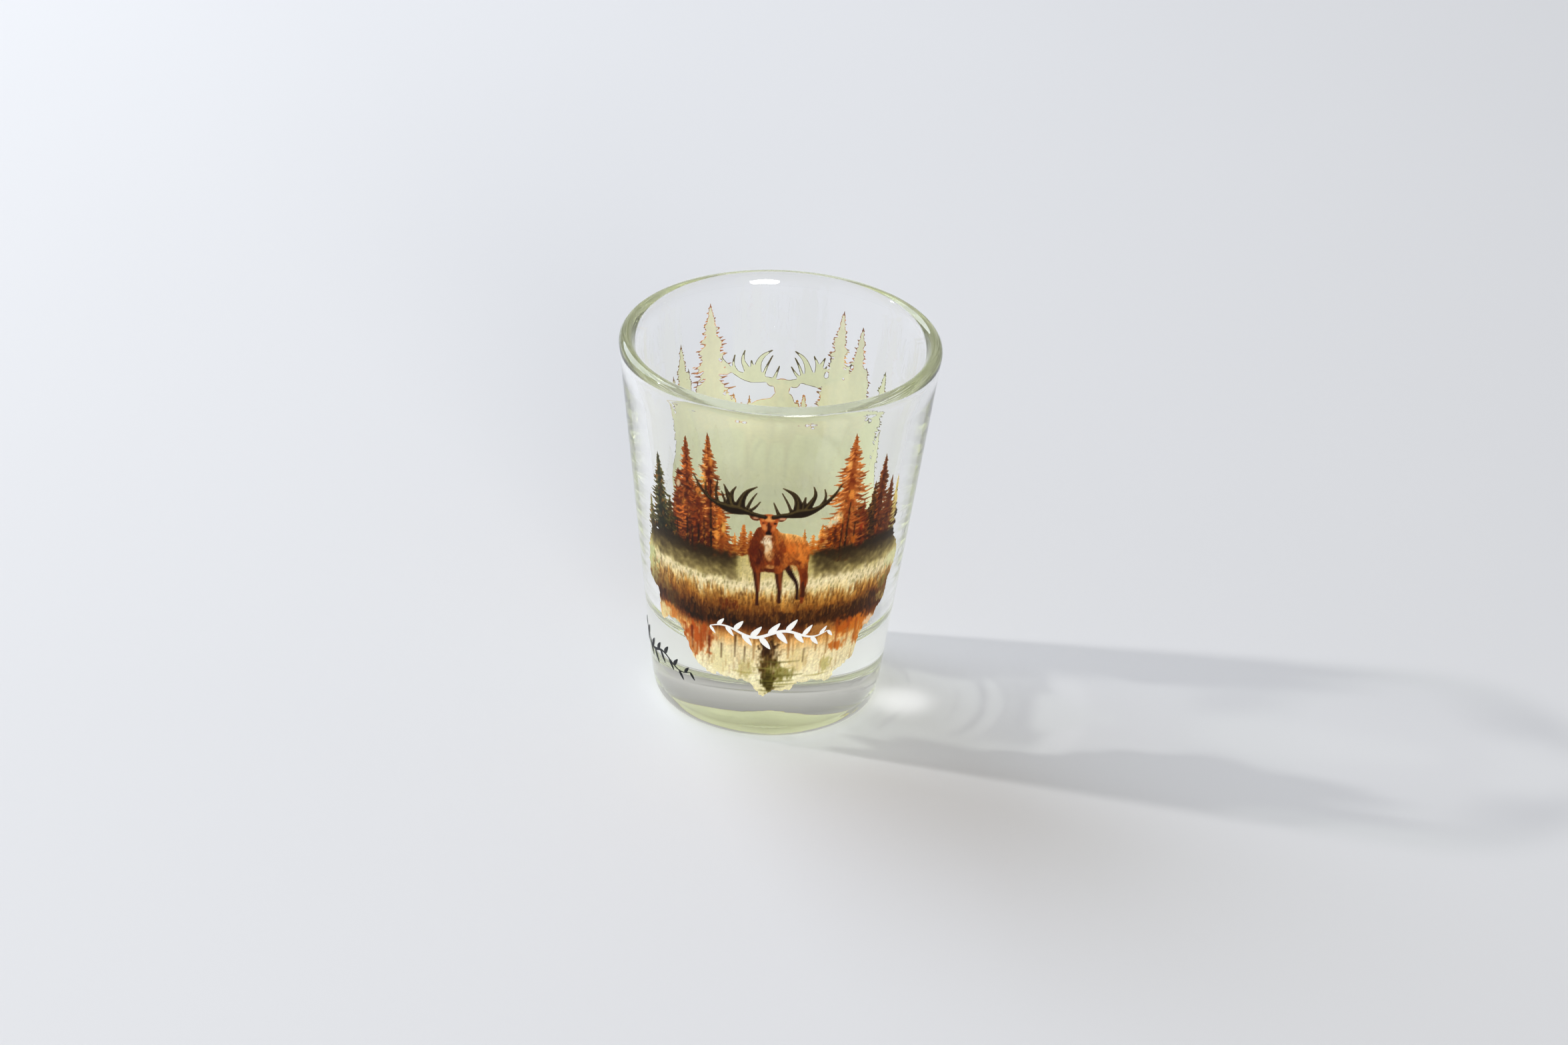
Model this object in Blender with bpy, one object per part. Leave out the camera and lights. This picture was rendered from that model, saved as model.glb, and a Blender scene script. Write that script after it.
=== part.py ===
"""A souvenir shot glass with a forest scene printed on its front and again on its back.

The glass is one pressed piece: a straight cone outside, a rounded lip, a deep cavity over a
thick base, and a shallow hollow under the base that leaves a flat ring to stand on. Each print
is a stack of ink layers wrapped round the cone: an opaque white underbase, the colour ink and
a white sprig. A black sprig is printed low on the left side.

The origin is the middle of the base, at the surface that the glass stands on. +Z is up and
the front print faces -Y. Artwork is laid out flat, in millimetres of arc and of height, and
then wrapped on the cone.
"""

import math

import bmesh
import bpy
from mathutils import Vector
from mathutils.geometry import delaunay_2d_cdt

# Driving dimensions of the glass, in metres.
HEIGHT = 0.0608
RIM_RADIUS = 0.0245
FOOT_RADIUS = 0.0177
LIP_RADIUS = 0.0012
HEEL_RADIUS = 0.0015
BASE_THICKNESS = 0.0140
FLOOR_INNER_RADIUS = 0.0163
FLOOR_FILLET = 0.0035
HOLLOW_RADIUS = 0.0115
HOLLOW_DEPTH = 0.0008

# Ink layers, in metres. Each layer stands clear of what it lies on by the same gap.
INK_THICKNESS = 0.0001
INK_GAP = 0.0003

# Divisions of a full turn and of the small rounds.
FACETS = 72
LIP_STEPS = 8
HEEL_STEPS = 4
FILLET_STEPS = 4
HOLLOW_STEPS = 3
MERGE_DISTANCE = 1e-6
SHARP_ANGLE = math.radians(40)

# Flat artwork: degrees of azimuth become millimetres of arc at the print's mean radius.
MM = 0.001
MEAN_RADIUS_MM = 21.0
MM_PER_DEGREE = math.radians(MEAN_RADIUS_MM)
WELD_MM = 0.01
CHOKE_MM = 0.25
CUT_MARGIN_MM = 1.0
INSIDE_ONLY = 1  # The triangulation's output type that keeps only what lies inside an outline.
INSET_LIMIT = 0.5

# Trees: azimuth in degrees, then foot height, tip height and half width in millimetres.
SPRUCES = (
    (-56.0, 27.0, 39.0, 2.4),
    (-49.0, 27.0, 47.5, 3.6),
    (-33.5, 27.0, 53.0, 4.6),
    (-24.5, 27.0, 54.5, 4.4),
    (-11.0, 27.0, 40.0, 2.6),
    (13.5, 27.0, 39.5, 2.4),
    (20.0, 27.0, 40.0, 2.6),
    (29.5, 27.0, 55.0, 5.4),
    (40.5, 27.0, 46.5, 2.6),
    (45.0, 27.0, 50.0, 3.2),
    (51.0, 27.0, 45.5, 3.4),
)
TIERS = 5
TIER_NOTCH = 0.62

# Outline of the meadow and its reflection: degrees and millimetres, anticlockwise.
GROUND = (
    (-62, 30), (-64, 24), (-55, 20), (-54, 17), (-43, 19), (-39, 15.5), (-34, 13),
    (-28, 11), (-20, 11.5), (-6, 10), (-1, 8), (4, 9.5), (13, 10), (30, 11), (37, 13),
    (45, 16), (55, 20.5), (61, 24), (64, 30), (58, 36), (44, 34), (26, 34), (16, 36.5),
    (6, 36), (-8, 36.5), (-18, 36), (-30, 35), (-44, 35), (-56, 34),
)  # fmt: skip

# The stag: degrees and millimetres.
STAG_BODY = (
    (-9.5, 33), (-6, 31), (2, 30.5), (10, 32), (15, 33), (15.5, 37), (13, 39),
    (6, 39.6), (3, 40), (2.5, 42.2), (-4.5, 42.2), (-5, 39.5), (-9, 37.5),
)  # fmt: skip
LEFT_BEAM = ((-4, 41.8, 0.6), (-9, 41.6, 1.2), (-14, 41.8, 1.7), (-19, 42.8, 1.3),
             (-24, 43.7, 0.9), (-28, 45.0, 0.6), (-31.4, 47.2, 0.2))  # fmt: skip
RIGHT_BEAM = ((2, 41.8, 0.6), (6, 41.7, 1.2), (10, 42.0, 1.8), (15, 42.3, 1.4),
              (19, 43.2, 1.0), (22.5, 44.8, 0.6), (25.8, 47.1, 0.2))  # fmt: skip
TINES = (
    ((-12, 42.0, 1.0), (-10, 45.0, 0.7), (-6, 47.0, 0.2)),
    ((-8, 42.2, 0.7), (-7, 44.0, 0.5), (-6, 45.8, 0.2)),
    ((-15, 42.6, 0.9), (-15.5, 45.0, 0.7), (-18, 46.7, 0.2)),
    ((-21, 43.4, 0.6), (-22.5, 45.3, 0.5), (-21.4, 47.0, 0.2)),
    ((8, 42.0, 1.0), (7.5, 45.2, 0.7), (3.4, 47.1, 0.2)),
    ((5, 42.0, 0.6), (3.0, 43.2, 0.5), (0.8, 44.4, 0.2)),
    ((12, 42.8, 1.0), (12.5, 45.0, 0.7), (15, 47.2, 0.2)),
    ((17, 42.8, 0.6), (18.8, 45.0, 0.5), (19.3, 46.7, 0.2)),
)
BEAM_JOIN_MM = 0.8

# Sprigs: first and last azimuth in degrees, then middle height and size in millimetres.
WHITE_SPRIG = (-26.0, 27.0, 20.0, 1.0)
BLACK_SPRIG = (-142.0, -38.0, 9.8, 1.2)
SPRIG_WAVES = 2.5
SPRIG_STEM_MM = 0.45
SPRIG_LEAF_LEAN = math.radians(50)
STEM_TAPER = 0.5
# A leaf's middle and half width, as shares of its length.
LEAF_REACH = 0.4
LEAF_WIDTH = 0.2
SPRIG_LEAF_MM = 2.4
SPRIG_LEAVES = 10
SPRIG_STEPS = 32
LEAF_STEPS = 6


def clear_scene():
    for thing in list(bpy.data.objects):
        bpy.data.objects.remove(thing, do_unlink=True)


def make_material(name, colour, roughness, transmission=0.0):
    material = bpy.data.materials.new(name)
    material.use_nodes = True
    shader = material.node_tree.nodes["Principled BSDF"]
    shader.inputs["Base Color"].default_value = (*colour, 1.0)
    shader.inputs["Roughness"].default_value = roughness
    shader.inputs["Metallic"].default_value = 0.0
    shader.inputs["Transmission Weight"].default_value = transmission
    return material


def add_object(name, mesh, material):
    mesh.materials.append(material)
    mesh.shade_smooth()
    mesh.set_sharp_from_angle(angle=SHARP_ANGLE)
    made = bpy.data.objects.new(name, mesh)
    bpy.context.scene.collection.objects.link(made)
    return made


def arc(centre, radius, start, end, steps):
    """Points (radius, height) along an arc, its angles in degrees from straight out."""
    angles = [math.radians(start + (end - start) * i / steps) for i in range(steps + 1)]
    return [(centre[0] + radius * math.cos(a), centre[1] + radius * math.sin(a)) for a in angles]


def outer_radius(height):
    """Radius of the outer cone at a height."""
    share = height / (HEIGHT - LIP_RADIUS)
    return FOOT_RADIUS + (RIM_RADIUS - FOOT_RADIUS) * share


def glass_profile():
    """The turned section, from the middle of the underside round to the middle of the floor."""
    hollow = [
        (HOLLOW_RADIUS * i / HOLLOW_STEPS, HOLLOW_DEPTH * (1 - (i / HOLLOW_STEPS) ** 2))
        for i in range(HOLLOW_STEPS + 1)
    ]
    heel_centre = (FOOT_RADIUS - HEEL_RADIUS, HEEL_RADIUS)
    heel = arc(heel_centre, HEEL_RADIUS, -90, 0, HEEL_STEPS)
    lip_centre = (RIM_RADIUS - LIP_RADIUS, HEIGHT - LIP_RADIUS)
    lip = arc(lip_centre, LIP_RADIUS, 0, 180, LIP_STEPS)
    fillet_centre = (FLOOR_INNER_RADIUS - FLOOR_FILLET, BASE_THICKNESS + FLOOR_FILLET)
    fillet = arc(fillet_centre, FLOOR_FILLET, 0, -90, FILLET_STEPS)
    floor = [(0.0, BASE_THICKNESS)]
    return hollow + heel + lip + fillet + floor


def glass_body():
    shape = bmesh.new()
    points = [shape.verts.new((radius, 0.0, height)) for radius, height in glass_profile()]
    edges = [shape.edges.new(pair) for pair in zip(points, points[1:])]
    bmesh.ops.spin(
        shape,
        geom=points + edges,
        cent=(0, 0, 0),
        axis=(0, 0, 1),
        angle=math.tau,
        steps=FACETS,
    )
    bmesh.ops.remove_doubles(shape, verts=shape.verts, dist=MERGE_DISTANCE)
    bmesh.ops.recalc_face_normals(shape, faces=shape.faces)
    mesh = bpy.data.meshes.new("glass_body")
    shape.to_mesh(mesh)
    shape.free()
    material = make_material("clear_glass", (0.93, 0.96, 0.93), 0.02, transmission=1.0)
    return add_object("glass_body", mesh, material)


def flat(outline):
    """Degrees and millimetres to millimetres of arc and of height."""
    return [Vector((azimuth * MM_PER_DEGREE, height)) for azimuth, height in outline]


def spruce(azimuth, foot, tip, half_width):
    """A tiered tree outline, anticlockwise from its left foot."""
    middle = azimuth * MM_PER_DEGREE
    right = []
    for tier in range(TIERS):
        low = foot + (tip - foot) * tier / TIERS
        reach = half_width * (1 - tier / TIERS)
        right.append((reach, low))
        right.append((reach * TIER_NOTCH, low + (tip - foot) / TIERS))
    right[-1] = (0.0, tip)
    left = [(-reach, height) for reach, height in reversed(right[:-1])]
    return [Vector((middle + reach, height)) for reach, height in right + left]


def stroke(stations):
    """Quads along a tapering line. A station is degrees, millimetres and width."""
    line = flat([station[:2] for station in stations])
    half = [station[2] / 2 for station in stations]
    quads = []
    for i in range(len(line) - 1):
        ahead = [line[min(j + 1, len(line) - 1)] - line[max(j - 1, 0)] for j in (i, i + 1)]
        side = [Vector((-step.y, step.x)).normalized() for step in ahead]
        quads.append(
            [
                line[i] + side[0] * half[i],
                line[i] - side[0] * half[i],
                line[i + 1] - side[1] * half[i + 1],
                line[i + 1] + side[1] * half[i + 1],
            ]
        )
    return quads


def inset(outline, distance):
    """The outline with each corner moved inwards, for one that runs anticlockwise."""
    moved = []
    for before, here, after in zip(outline[-1:] + outline[:-1], outline, outline[1:] + outline[:1]):
        into = (here - before).normalized()
        out_of = (after - here).normalized()
        normal = Vector((-into.y - out_of.y, into.x + out_of.x)).normalized()
        lean = max(INSET_LIMIT, normal.dot(Vector((-into.y, into.x))))
        moved.append(here + normal * distance / lean)
    return moved


def scene_outlines():
    """Outlines of the printed scene, which overlap and are joined when the layer is made."""
    trees = [spruce(*tree) for tree in SPRUCES]
    antlers = [quad for line in (LEFT_BEAM, RIGHT_BEAM, *TINES) for quad in stroke(line)]
    return [flat(GROUND), flat(STAG_BODY), *trees, *antlers]


def underbase_outlines():
    """The white under the scene, drawn in a little so that none of it shows past the colour."""
    trees = [spruce(*tree) for tree in SPRUCES]
    whole = [inset(outline, CHOKE_MM) for outline in (flat(GROUND), flat(STAG_BODY), *trees)]
    beams = []
    for beam in (LEFT_BEAM, RIGHT_BEAM):
        broad = [(a, h, width - CHOKE_MM) for a, h, width in beam if width > BEAM_JOIN_MM]
        beams += stroke([beam[0]] + broad)
    return whole + beams


def sprig_outlines(first, last, middle, rise):
    """A wavy stem with leaves on alternate sides."""

    def stem(share):
        azimuth = first + (last - first) * share
        return azimuth, middle + rise * math.sin(math.tau * SPRIG_WAVES * share)

    def width(share):
        return SPRIG_STEM_MM * (STEM_TAPER + math.sin(math.pi * share))

    shares = [i / SPRIG_STEPS for i in range(SPRIG_STEPS + 1)]
    outlines = stroke([(*stem(share), width(share)) for share in shares])
    for leaf in range(SPRIG_LEAVES):
        share = (leaf + 0.5) / SPRIG_LEAVES
        root = flat([stem(share)])[0]
        lean = SPRIG_LEAF_LEAN if leaf % 2 else -SPRIG_LEAF_LEAN
        along = Vector((math.cos(lean), math.sin(lean)))
        across = Vector((-along.y, along.x))
        outlines.append(
            [
                root
                + along * SPRIG_LEAF_MM * (LEAF_REACH - math.cos(math.tau * i / LEAF_STEPS) / 2)
                - across * SPRIG_LEAF_MM * LEAF_WIDTH * math.sin(math.tau * i / LEAF_STEPS)
                for i in range(LEAF_STEPS)
            ]
        )
    return outlines


def wrap(point, stand_off):
    """A flat point to its place outside the cone."""
    azimuth = point.x / MEAN_RADIUS_MM
    height = point.y * MM
    radius = outer_radius(height) + stand_off
    return Vector((radius * math.sin(azimuth), -radius * math.cos(azimuth), height))


def joined_triangles(outlines):
    """One set of triangles for all the outlines, cut at every facet of the glass."""
    points = [point for outline in outlines for point in outline]
    faces = []
    start = 0
    for outline in outlines:
        faces.append(list(range(start, start + len(outline))))
        start += len(outline)
    low = min(point.y for point in points) - CUT_MARGIN_MM
    high = max(point.y for point in points) + CUT_MARGIN_MM
    facet = math.tau * MEAN_RADIUS_MM / FACETS
    first = math.ceil(min(point.x for point in points) / facet)
    last = math.floor(max(point.x for point in points) / facet)
    cuts = []
    for i in range(first, last + 1):
        cuts.append((len(points), len(points) + 1))
        points += [Vector((i * facet, low)), Vector((i * facet, high))]
    made = delaunay_2d_cdt(points, cuts, faces, INSIDE_ONLY, WELD_MM)
    triangles = [face for face, sources in zip(made[2], made[5]) if sources]
    return made[0], triangles


def ink_layer(name, outlines, level, material):
    """A closed sheet of ink on the cone. Level 0 lies on the glass, 1 on level 0, and so on."""
    points, triangles = joined_triangles(outlines)
    inner = INK_GAP + level * (INK_GAP + INK_THICKNESS)
    shape = bmesh.new()
    used = sorted({i for triangle in triangles for i in triangle})
    under = {i: shape.verts.new(wrap(points[i], inner)) for i in used}
    over = {i: shape.verts.new(wrap(points[i], inner + INK_THICKNESS)) for i in used}
    sides = {(a, b) for t in triangles for a, b in zip(t, [*t[1:], t[0]])}
    for triangle in triangles:
        shape.faces.new([over[i] for i in triangle])
        shape.faces.new([under[i] for i in reversed(triangle)])
    for a, b in sorted(sides):
        if (b, a) not in sides:
            shape.faces.new((under[a], under[b], over[b], over[a]))
    bmesh.ops.recalc_face_normals(shape, faces=shape.faces)
    mesh = bpy.data.meshes.new(name)
    shape.to_mesh(mesh)
    shape.free()
    return add_object(name, mesh, material)


def copy_to_rear(front, name):
    """The same layer half a turn round the glass."""
    made = bpy.data.objects.new(name, front.data)
    made.rotation_euler.z = math.pi
    bpy.context.scene.collection.objects.link(made)


def prints():
    white = make_material("white_ink", (0.90, 0.90, 0.84), 0.45)
    colour = make_material("autumn_ink", (0.42, 0.20, 0.08), 0.40)
    black = make_material("black_ink", (0.03, 0.03, 0.03), 0.40)
    underbase = ink_layer("front_white_base", underbase_outlines(), 0, white)
    scene = ink_layer("front_colour_print", scene_outlines(), 1, colour)
    sprig = ink_layer("front_white_sprig", sprig_outlines(*WHITE_SPRIG), 2, white)
    copy_to_rear(underbase, "rear_white_base")
    copy_to_rear(scene, "rear_colour_print")
    copy_to_rear(sprig, "rear_white_sprig")
    ink_layer("side_black_sprig", sprig_outlines(*BLACK_SPRIG), 0, black)


def main():
    clear_scene()
    glass_body()
    prints()


main()
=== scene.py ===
"""Looks for a souvenir shot glass printed with an autumn forest scene.

The glass is turned from its section, and each print is painted flat on a canvas of azimuth and
height, cut out along its own outline and wrapped round the cone.
"""

import math

import bmesh
import bpy
import numpy as np
from bpy.props import (
    FloatProperty,
    FloatVectorProperty,
    IntProperty,
    PointerProperty,
)
from mathutils import Matrix, Vector


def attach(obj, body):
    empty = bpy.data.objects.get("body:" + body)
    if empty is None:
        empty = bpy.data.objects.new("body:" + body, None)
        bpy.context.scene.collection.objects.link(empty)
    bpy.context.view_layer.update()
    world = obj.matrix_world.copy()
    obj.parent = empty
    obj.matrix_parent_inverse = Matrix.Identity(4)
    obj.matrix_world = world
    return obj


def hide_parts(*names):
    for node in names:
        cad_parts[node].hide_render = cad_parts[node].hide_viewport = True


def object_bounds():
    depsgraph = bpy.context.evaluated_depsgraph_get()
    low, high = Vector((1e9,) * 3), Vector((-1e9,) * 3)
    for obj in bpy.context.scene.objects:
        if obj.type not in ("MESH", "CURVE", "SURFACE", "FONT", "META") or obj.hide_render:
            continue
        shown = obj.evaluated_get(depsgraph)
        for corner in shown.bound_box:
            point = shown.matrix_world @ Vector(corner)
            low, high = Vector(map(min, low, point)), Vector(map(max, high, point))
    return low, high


bl_info = {
    "name": "Printed Shot Glass",
    "version": (1, 0, 0),
    "blender": (4, 5, 0),
    "location": "3D Viewport > Sidebar > Shot Glass",
    "description": "Builds a pressed shot glass with a printed forest scene",
    "category": "Add Mesh",
}

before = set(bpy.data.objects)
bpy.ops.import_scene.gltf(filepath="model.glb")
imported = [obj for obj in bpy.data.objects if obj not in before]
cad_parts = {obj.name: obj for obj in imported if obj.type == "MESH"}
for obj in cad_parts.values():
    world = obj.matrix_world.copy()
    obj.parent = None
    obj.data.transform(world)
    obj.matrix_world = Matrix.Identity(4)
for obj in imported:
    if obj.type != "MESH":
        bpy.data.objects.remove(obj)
CAD_LOW, CAD_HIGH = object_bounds()

BODY = "root"
MM = 0.001

# Turning the glass: steps of its rounds and walls, and the ring that the section rides on.
ROUND_STEPS = 10
WALL_STEPS = 12
HOLLOW_STEPS = 12
TURNING_RADIUS = 0.001
WELD_DISTANCE = 2e-6

# Sprigs: mesh steps, and the leaves' lean, slenderness and how much their width falls off.
STEM_STEPS = 220
WIRE_SIDES = 10
LEAF_SEGMENTS = 12
LEAF_RINGS = 8
LEAF_LEAN = math.radians(52)
LEAF_SLENDER = 0.17
LEAF_POINT = 0.45
# Growth of the stem and of the leaves: what their ends have, and what the middle adds.
STEM_GROWTH = (0.25, 0.8)
LEAF_GROWTH = (0.6, 0.5)
# Leaves and waves of each sprig.
WHITE_SPRIG = (15, 2.0)
BLACK_SPRIG = (29, 4.0)

# Ink sheets: mesh steps and the levels of their faces over the glass, in millimetres.
SHEET_STEP_MM = 0.175
BASE_STEP_MM = 0.2
CROSSING_MARGIN = 0.08
BASE_LEVELS = (0.006, 0.016)
COLOUR_LEVELS = (0.022, 0.042)
SHARP_ANGLE = math.radians(40)
DISPLAY_GAMMA = 2.4
INK_LAYER = "ink"
GRAIN_GROUP = "Ink grain"

# The white underbase: how much of the scene shows through it, and its painted shade at two heights.
SHOW_THROUGH = 0.06
SHOW_BLUR_CELLS = 3
UNDER_HEIGHTS_MM = (36.0, 50.0)
# Painted shade: the underbase is lightened low and darkened high, standing in for how the light falls
# on it.
UNDER_PAINTED_SHADE = (1.02, 0.945)

# Finishes. Patches, streaks, marks, clouds and tooth are noise scales, in features for each
# metre. A relief is a bump's strength and its distance in metres. The mean colours stand under
# the painted ones.
INK_PATCHES = 260.0
INK_STREAKS = 900.0
STREAK_STRETCH = (1.0, 1.0, 0.09)
PATCH_SHEEN = 0.3
INK_RELIEF = (0.15, 0.00002)
INK_SPECULAR = 0.12
INK_IOR = 1.5
AUTUMN_MEAN, BASE_MEAN = (0.4, 0.2, 0.1), (0.7, 0.7, 0.6)
COLOUR_GRAIN = {"Grain Size": 0.00016, "Mottling": 0.22, "Roughness": 0.36}
BASE_GRAIN = {"Grain Size": 0.0006, "Mottling": 0.12, "Roughness": 0.5, "Streaks": 0.1}
SPRIG_GRAIN = {"Grain Size": 0.0003, "Mottling": 0.06, "Roughness": 0.42}
HANDLING_MARKS = 90.0
HANDLING_SHEEN = {"From Min": 0.5, "From Max": 0.75, "To Min": 0.0, "To Max": 0.02}
FLOOR_CLOUDS = 5.0
FLOOR_CLOUD_EDGES = (0.3, 0.7)
FLOOR_CLOUD_TONE = 0.985
FLOOR_TOOTH = 900.0
FLOOR_RELIEF = (0.05, 0.0002)

# What the glass lets through into its own shadow, face on and edge on, and where it turns.
SHADOW_FACING = (0.985, 0.99, 0.985)
SHADOW_EDGE = (0.62, 0.66, 0.62)
SHADOW_BLEND = 0.3

# Stage: places in metres, angles in degrees.
FLOOR_REACH = 1.6
FLOOR_GAP = 0.00002
KEY_HEADING = (-0.991, 0.133)
KEY_DISTANCE = 1.7
KEY_ELEVATION = 30.4
KEY_SIZE = 0.075
KEY_COLOUR = (1.0, 0.99, 0.97)
# Soft lamps: name, place, size, power in watts and colour.
SOFT_LAMPS = (
    ("window", (-0.80, 0.72, 0.75), 1.0, 11.5, (0.80, 0.88, 1.0)),
    ("front_soft", (0.30, -1.15, 0.27), 0.50, 6.6, (1.0, 0.985, 0.955)),
)
# A narrow spot that stands in for the light that the thick base gathers beside the foot.
GLINT_PLACE = (0.12, -0.004, 0.16)
GLINT_TARGET = (0.0215, -0.0044, 0.0)
GLINT_POWER = 0.62
GLINT_CONE = 3.2
GLINT_SIZE = 0.002
# The surroundings' colour by the sine of the angle above the horizon.
SKY_STOPS = (
    (0.01, (0.30, 0.33, 0.38)),
    (0.05, (1.65, 1.635, 1.62)),
    (0.62, (0.80, 0.785, 0.775)),
)
# How often light may pass through the glass or bounce between plain surfaces.
GLASS_BOUNCES = 48
PLAIN_BOUNCES = 8
# The camera stands on a circle about the pivot and looks at the aim.
CAMERA_PIVOT_HEIGHT = 0.030165
AIM = (0.001769, 0.0, 0.02871)
FILM_WIDTH_MM = 36.0
NEAREST, FARTHEST = 0.01, 20.0

# The printed artwork: azimuth in degrees round the glass, height in millimetres.
ART_AZIMUTH = (-70.0, 70.0)
ART_HEIGHT = (6.5, 58.0)
CANVAS_MM = 0.1
MEAN_RADIUS_MM = 21.0
MM_PER_DEGREE = math.radians(MEAN_RADIUS_MM)
NOISE_CELLS = 512
FINE_EDGE_MM = 0.14
BRUSH_SEED = 11
# Noises: grain across and up in millimetres and, where it is fixed, the seed.
COARSE_EDGE, FINE_EDGE = (0.7, 0.7), (0.3, 0.3)
COARSE_TOUCH, FINE_TOUCH = (0.9, 1.6), (0.28, 0.5)
BAND_DRIFT, BAND_FRINGE = (2.2, 3.0, 21), (0.22, 2.4, 22)
GRASS_GRAIN, LAND_SPECKS = (0.17, 1.7, 23), (0.16, 0.2, 24)
GROUND_EDGE = (0.8, 0.6, 25)
COAT_GRAIN = (0.14, 0.9, 61)
INK_FIBRE = (0.18, 0.18, 77)
# The cover at which the white ends, over the cells that it is averaged with, and its softness.
UNDER_CELLS = 2
UNDER_INSET = 0.56
UNDER_SOFT = 0.25
# The last grading of the colours, and the paper-like fibre in them.
FIBRE_DEPTH = 0.12
SATURATION = 1.08
CONTRAST = 1.12
MIDDLE_TONE = 0.47
DEEPENING = 0.045

# Ink colours, as eight-bit display values.
STRAW = (232, 218, 180)
CREAM = (238, 230, 196)
PALE_GREEN = (186, 190, 140)
OLIVE = (112, 106, 62)
BROWN = (140, 96, 50)
DARK_BROWN = (62, 42, 26)
UMBER = (44, 32, 20)
MAROON = (86, 44, 26)
ORANGE = (206, 118, 46)
DEEP_ORANGE = (150, 80, 36)
LIGHT_ORANGE = (234, 160, 84)
HAY = (226, 186, 108)
SPRUCE_DARK = (52, 52, 36)
SPRUCE_LIGHT = (104, 102, 68)

# Trees from the back to the front: azimuth, tip, foot, spread to the left and to the right in
# millimetres for each millimetre down from the tip, widest reach, dark and light colour.
TREES = (
    (-56.5, 39.6, 30.5, 0.22, 0.22, 1.6, OLIVE, (170, 164, 112)),
    (-14.5, 38.6, 33.0, 0.40, 0.34, 1.6, ORANGE, (244, 206, 140)),
    (-11.0, 40.8, 33.0, 0.24, 0.22, 1.3, DEEP_ORANGE, LIGHT_ORANGE),
    (-8.2, 39.8, 33.5, 0.25, 0.25, 1.2, DEEP_ORANGE, LIGHT_ORANGE),
    (12.6, 39.8, 34.0, 0.20, 0.20, 0.9, DEEP_ORANGE, HAY),
    (16.2, 39.2, 33.0, 0.36, 0.36, 1.7, ORANGE, (244, 214, 150)),
    (19.6, 40.6, 33.0, 0.34, 0.34, 1.9, ORANGE, (246, 214, 150)),
    (22.6, 41.4, 33.0, 0.34, 0.34, 1.9, DEEP_ORANGE, (240, 190, 120)),
    (54.3, 45.6, 33.0, 0.10, 0.12, 1.0, (190, 170, 108), (236, 226, 166)),
    (50.2, 46.0, 31.0, 0.24, 0.27, 2.9, MAROON, BROWN),
    (44.7, 50.6, 31.0, 0.24, 0.24, 2.6, (74, 42, 26), (150, 88, 48)),
    (41.2, 46.2, 31.0, 0.15, 0.15, 1.5, UMBER, BROWN),
    (36.8, 43.5, 31.0, 0.26, 0.30, 2.2, MAROON, DEEP_ORANGE),
    (29.4, 56.0, 31.0, 0.34, 0.36, 3.3, (126, 66, 32), (224, 152, 90)),
    (25.0, 41.6, 32.0, 0.34, 0.30, 2.0, MAROON, ORANGE),
    (-38.6, 47.4, 31.0, 0.28, 0.26, 2.6, MAROON, DEEP_ORANGE),
    (-34.4, 53.8, 31.0, 0.27, 0.26, 3.2, (88, 46, 26), (196, 116, 62)),
    (-25.0, 55.4, 31.0, 0.21, 0.23, 3.1, (98, 50, 26), (220, 146, 86)),
    (-29.8, 46.0, 31.0, 0.24, 0.24, 2.2, MAROON, DEEP_ORANGE),
    (-20.6, 43.5, 31.5, 0.26, 0.34, 2.2, DEEP_ORANGE, LIGHT_ORANGE),
    (-49.3, 48.4, 30.5, 0.27, 0.30, 3.0, SPRUCE_DARK, SPRUCE_LIGHT),
    (-44.0, 41.5, 30.5, 0.24, 0.24, 1.9, (58, 46, 30), OLIVE),
)
# Boughs: their spacing, widest stroke and share of the tree's reach, and the tone of the side
# that the light misses.
BOUGH_STEP_MM = 0.36
BOUGH_WIDTH_MM = 0.44
BOUGH_REACH = (0.34, 1.2)
LEE_SIDE = 0.72
# Trunks: azimuth, low and high end, width.
TRUNKS = (
    (-35.5, 34.0, 39.0, 0.34), (-33.3, 33.5, 38.0, 0.30), (-30.3, 33.0, 38.5, 0.34),
    (-24.5, 33.0, 47.0, 0.30), (30.0, 33.0, 43.5, 0.34), (27.8, 33.0, 41.0, 0.26),
    (33.4, 33.0, 39.5, 0.24), (-27.6, 32.5, 40.0, 0.22), (-40.6, 32.5, 38.0, 0.24),
)  # fmt: skip

# Lit patches and gaps among the boughs: azimuth, height, colour. All share a reach in
# millimetres and a strength.
FOREST_TOUCHES = (
    (-28.6, 48.4, CREAM), (-27.6, 47.0, HAY), (-38.6, 44.6, CREAM), (24.6, 41.0, CREAM),
    (22.6, 40.4, CREAM), (26.4, 41.5, (246, 214, 160)), (-36.6, 41.7, LIGHT_ORANGE),
    (37, 38.5, (158, 66, 34)), (-29.5, 44.5, LIGHT_ORANGE), (34, 36.5, ORANGE),
    (-22.0, 37.4, LIGHT_ORANGE), (-19.0, 39.0, HAY), (46, 37, DEEP_ORANGE),
    (30.5, 45.0, LIGHT_ORANGE), (28.0, 50.5, (246, 190, 120)), (-24.0, 50.5, LIGHT_ORANGE),
)  # fmt: skip
GLOW_REACH = (0.42, 0.8)
GLOW_STRENGTH = 0.7
# The dark mass behind the trees on each side.
LEFT_MASS = ((-44, 31), (-17, 31), (-16.5, 36.5), (-19, 40), (-24, 43), (-36, 43), (-43, 40))
RIGHT_MASS = ((21, 31), (57.5, 31), (58, 36), (56, 39.5), (48, 40.5), (38, 42), (24, 40))

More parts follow.
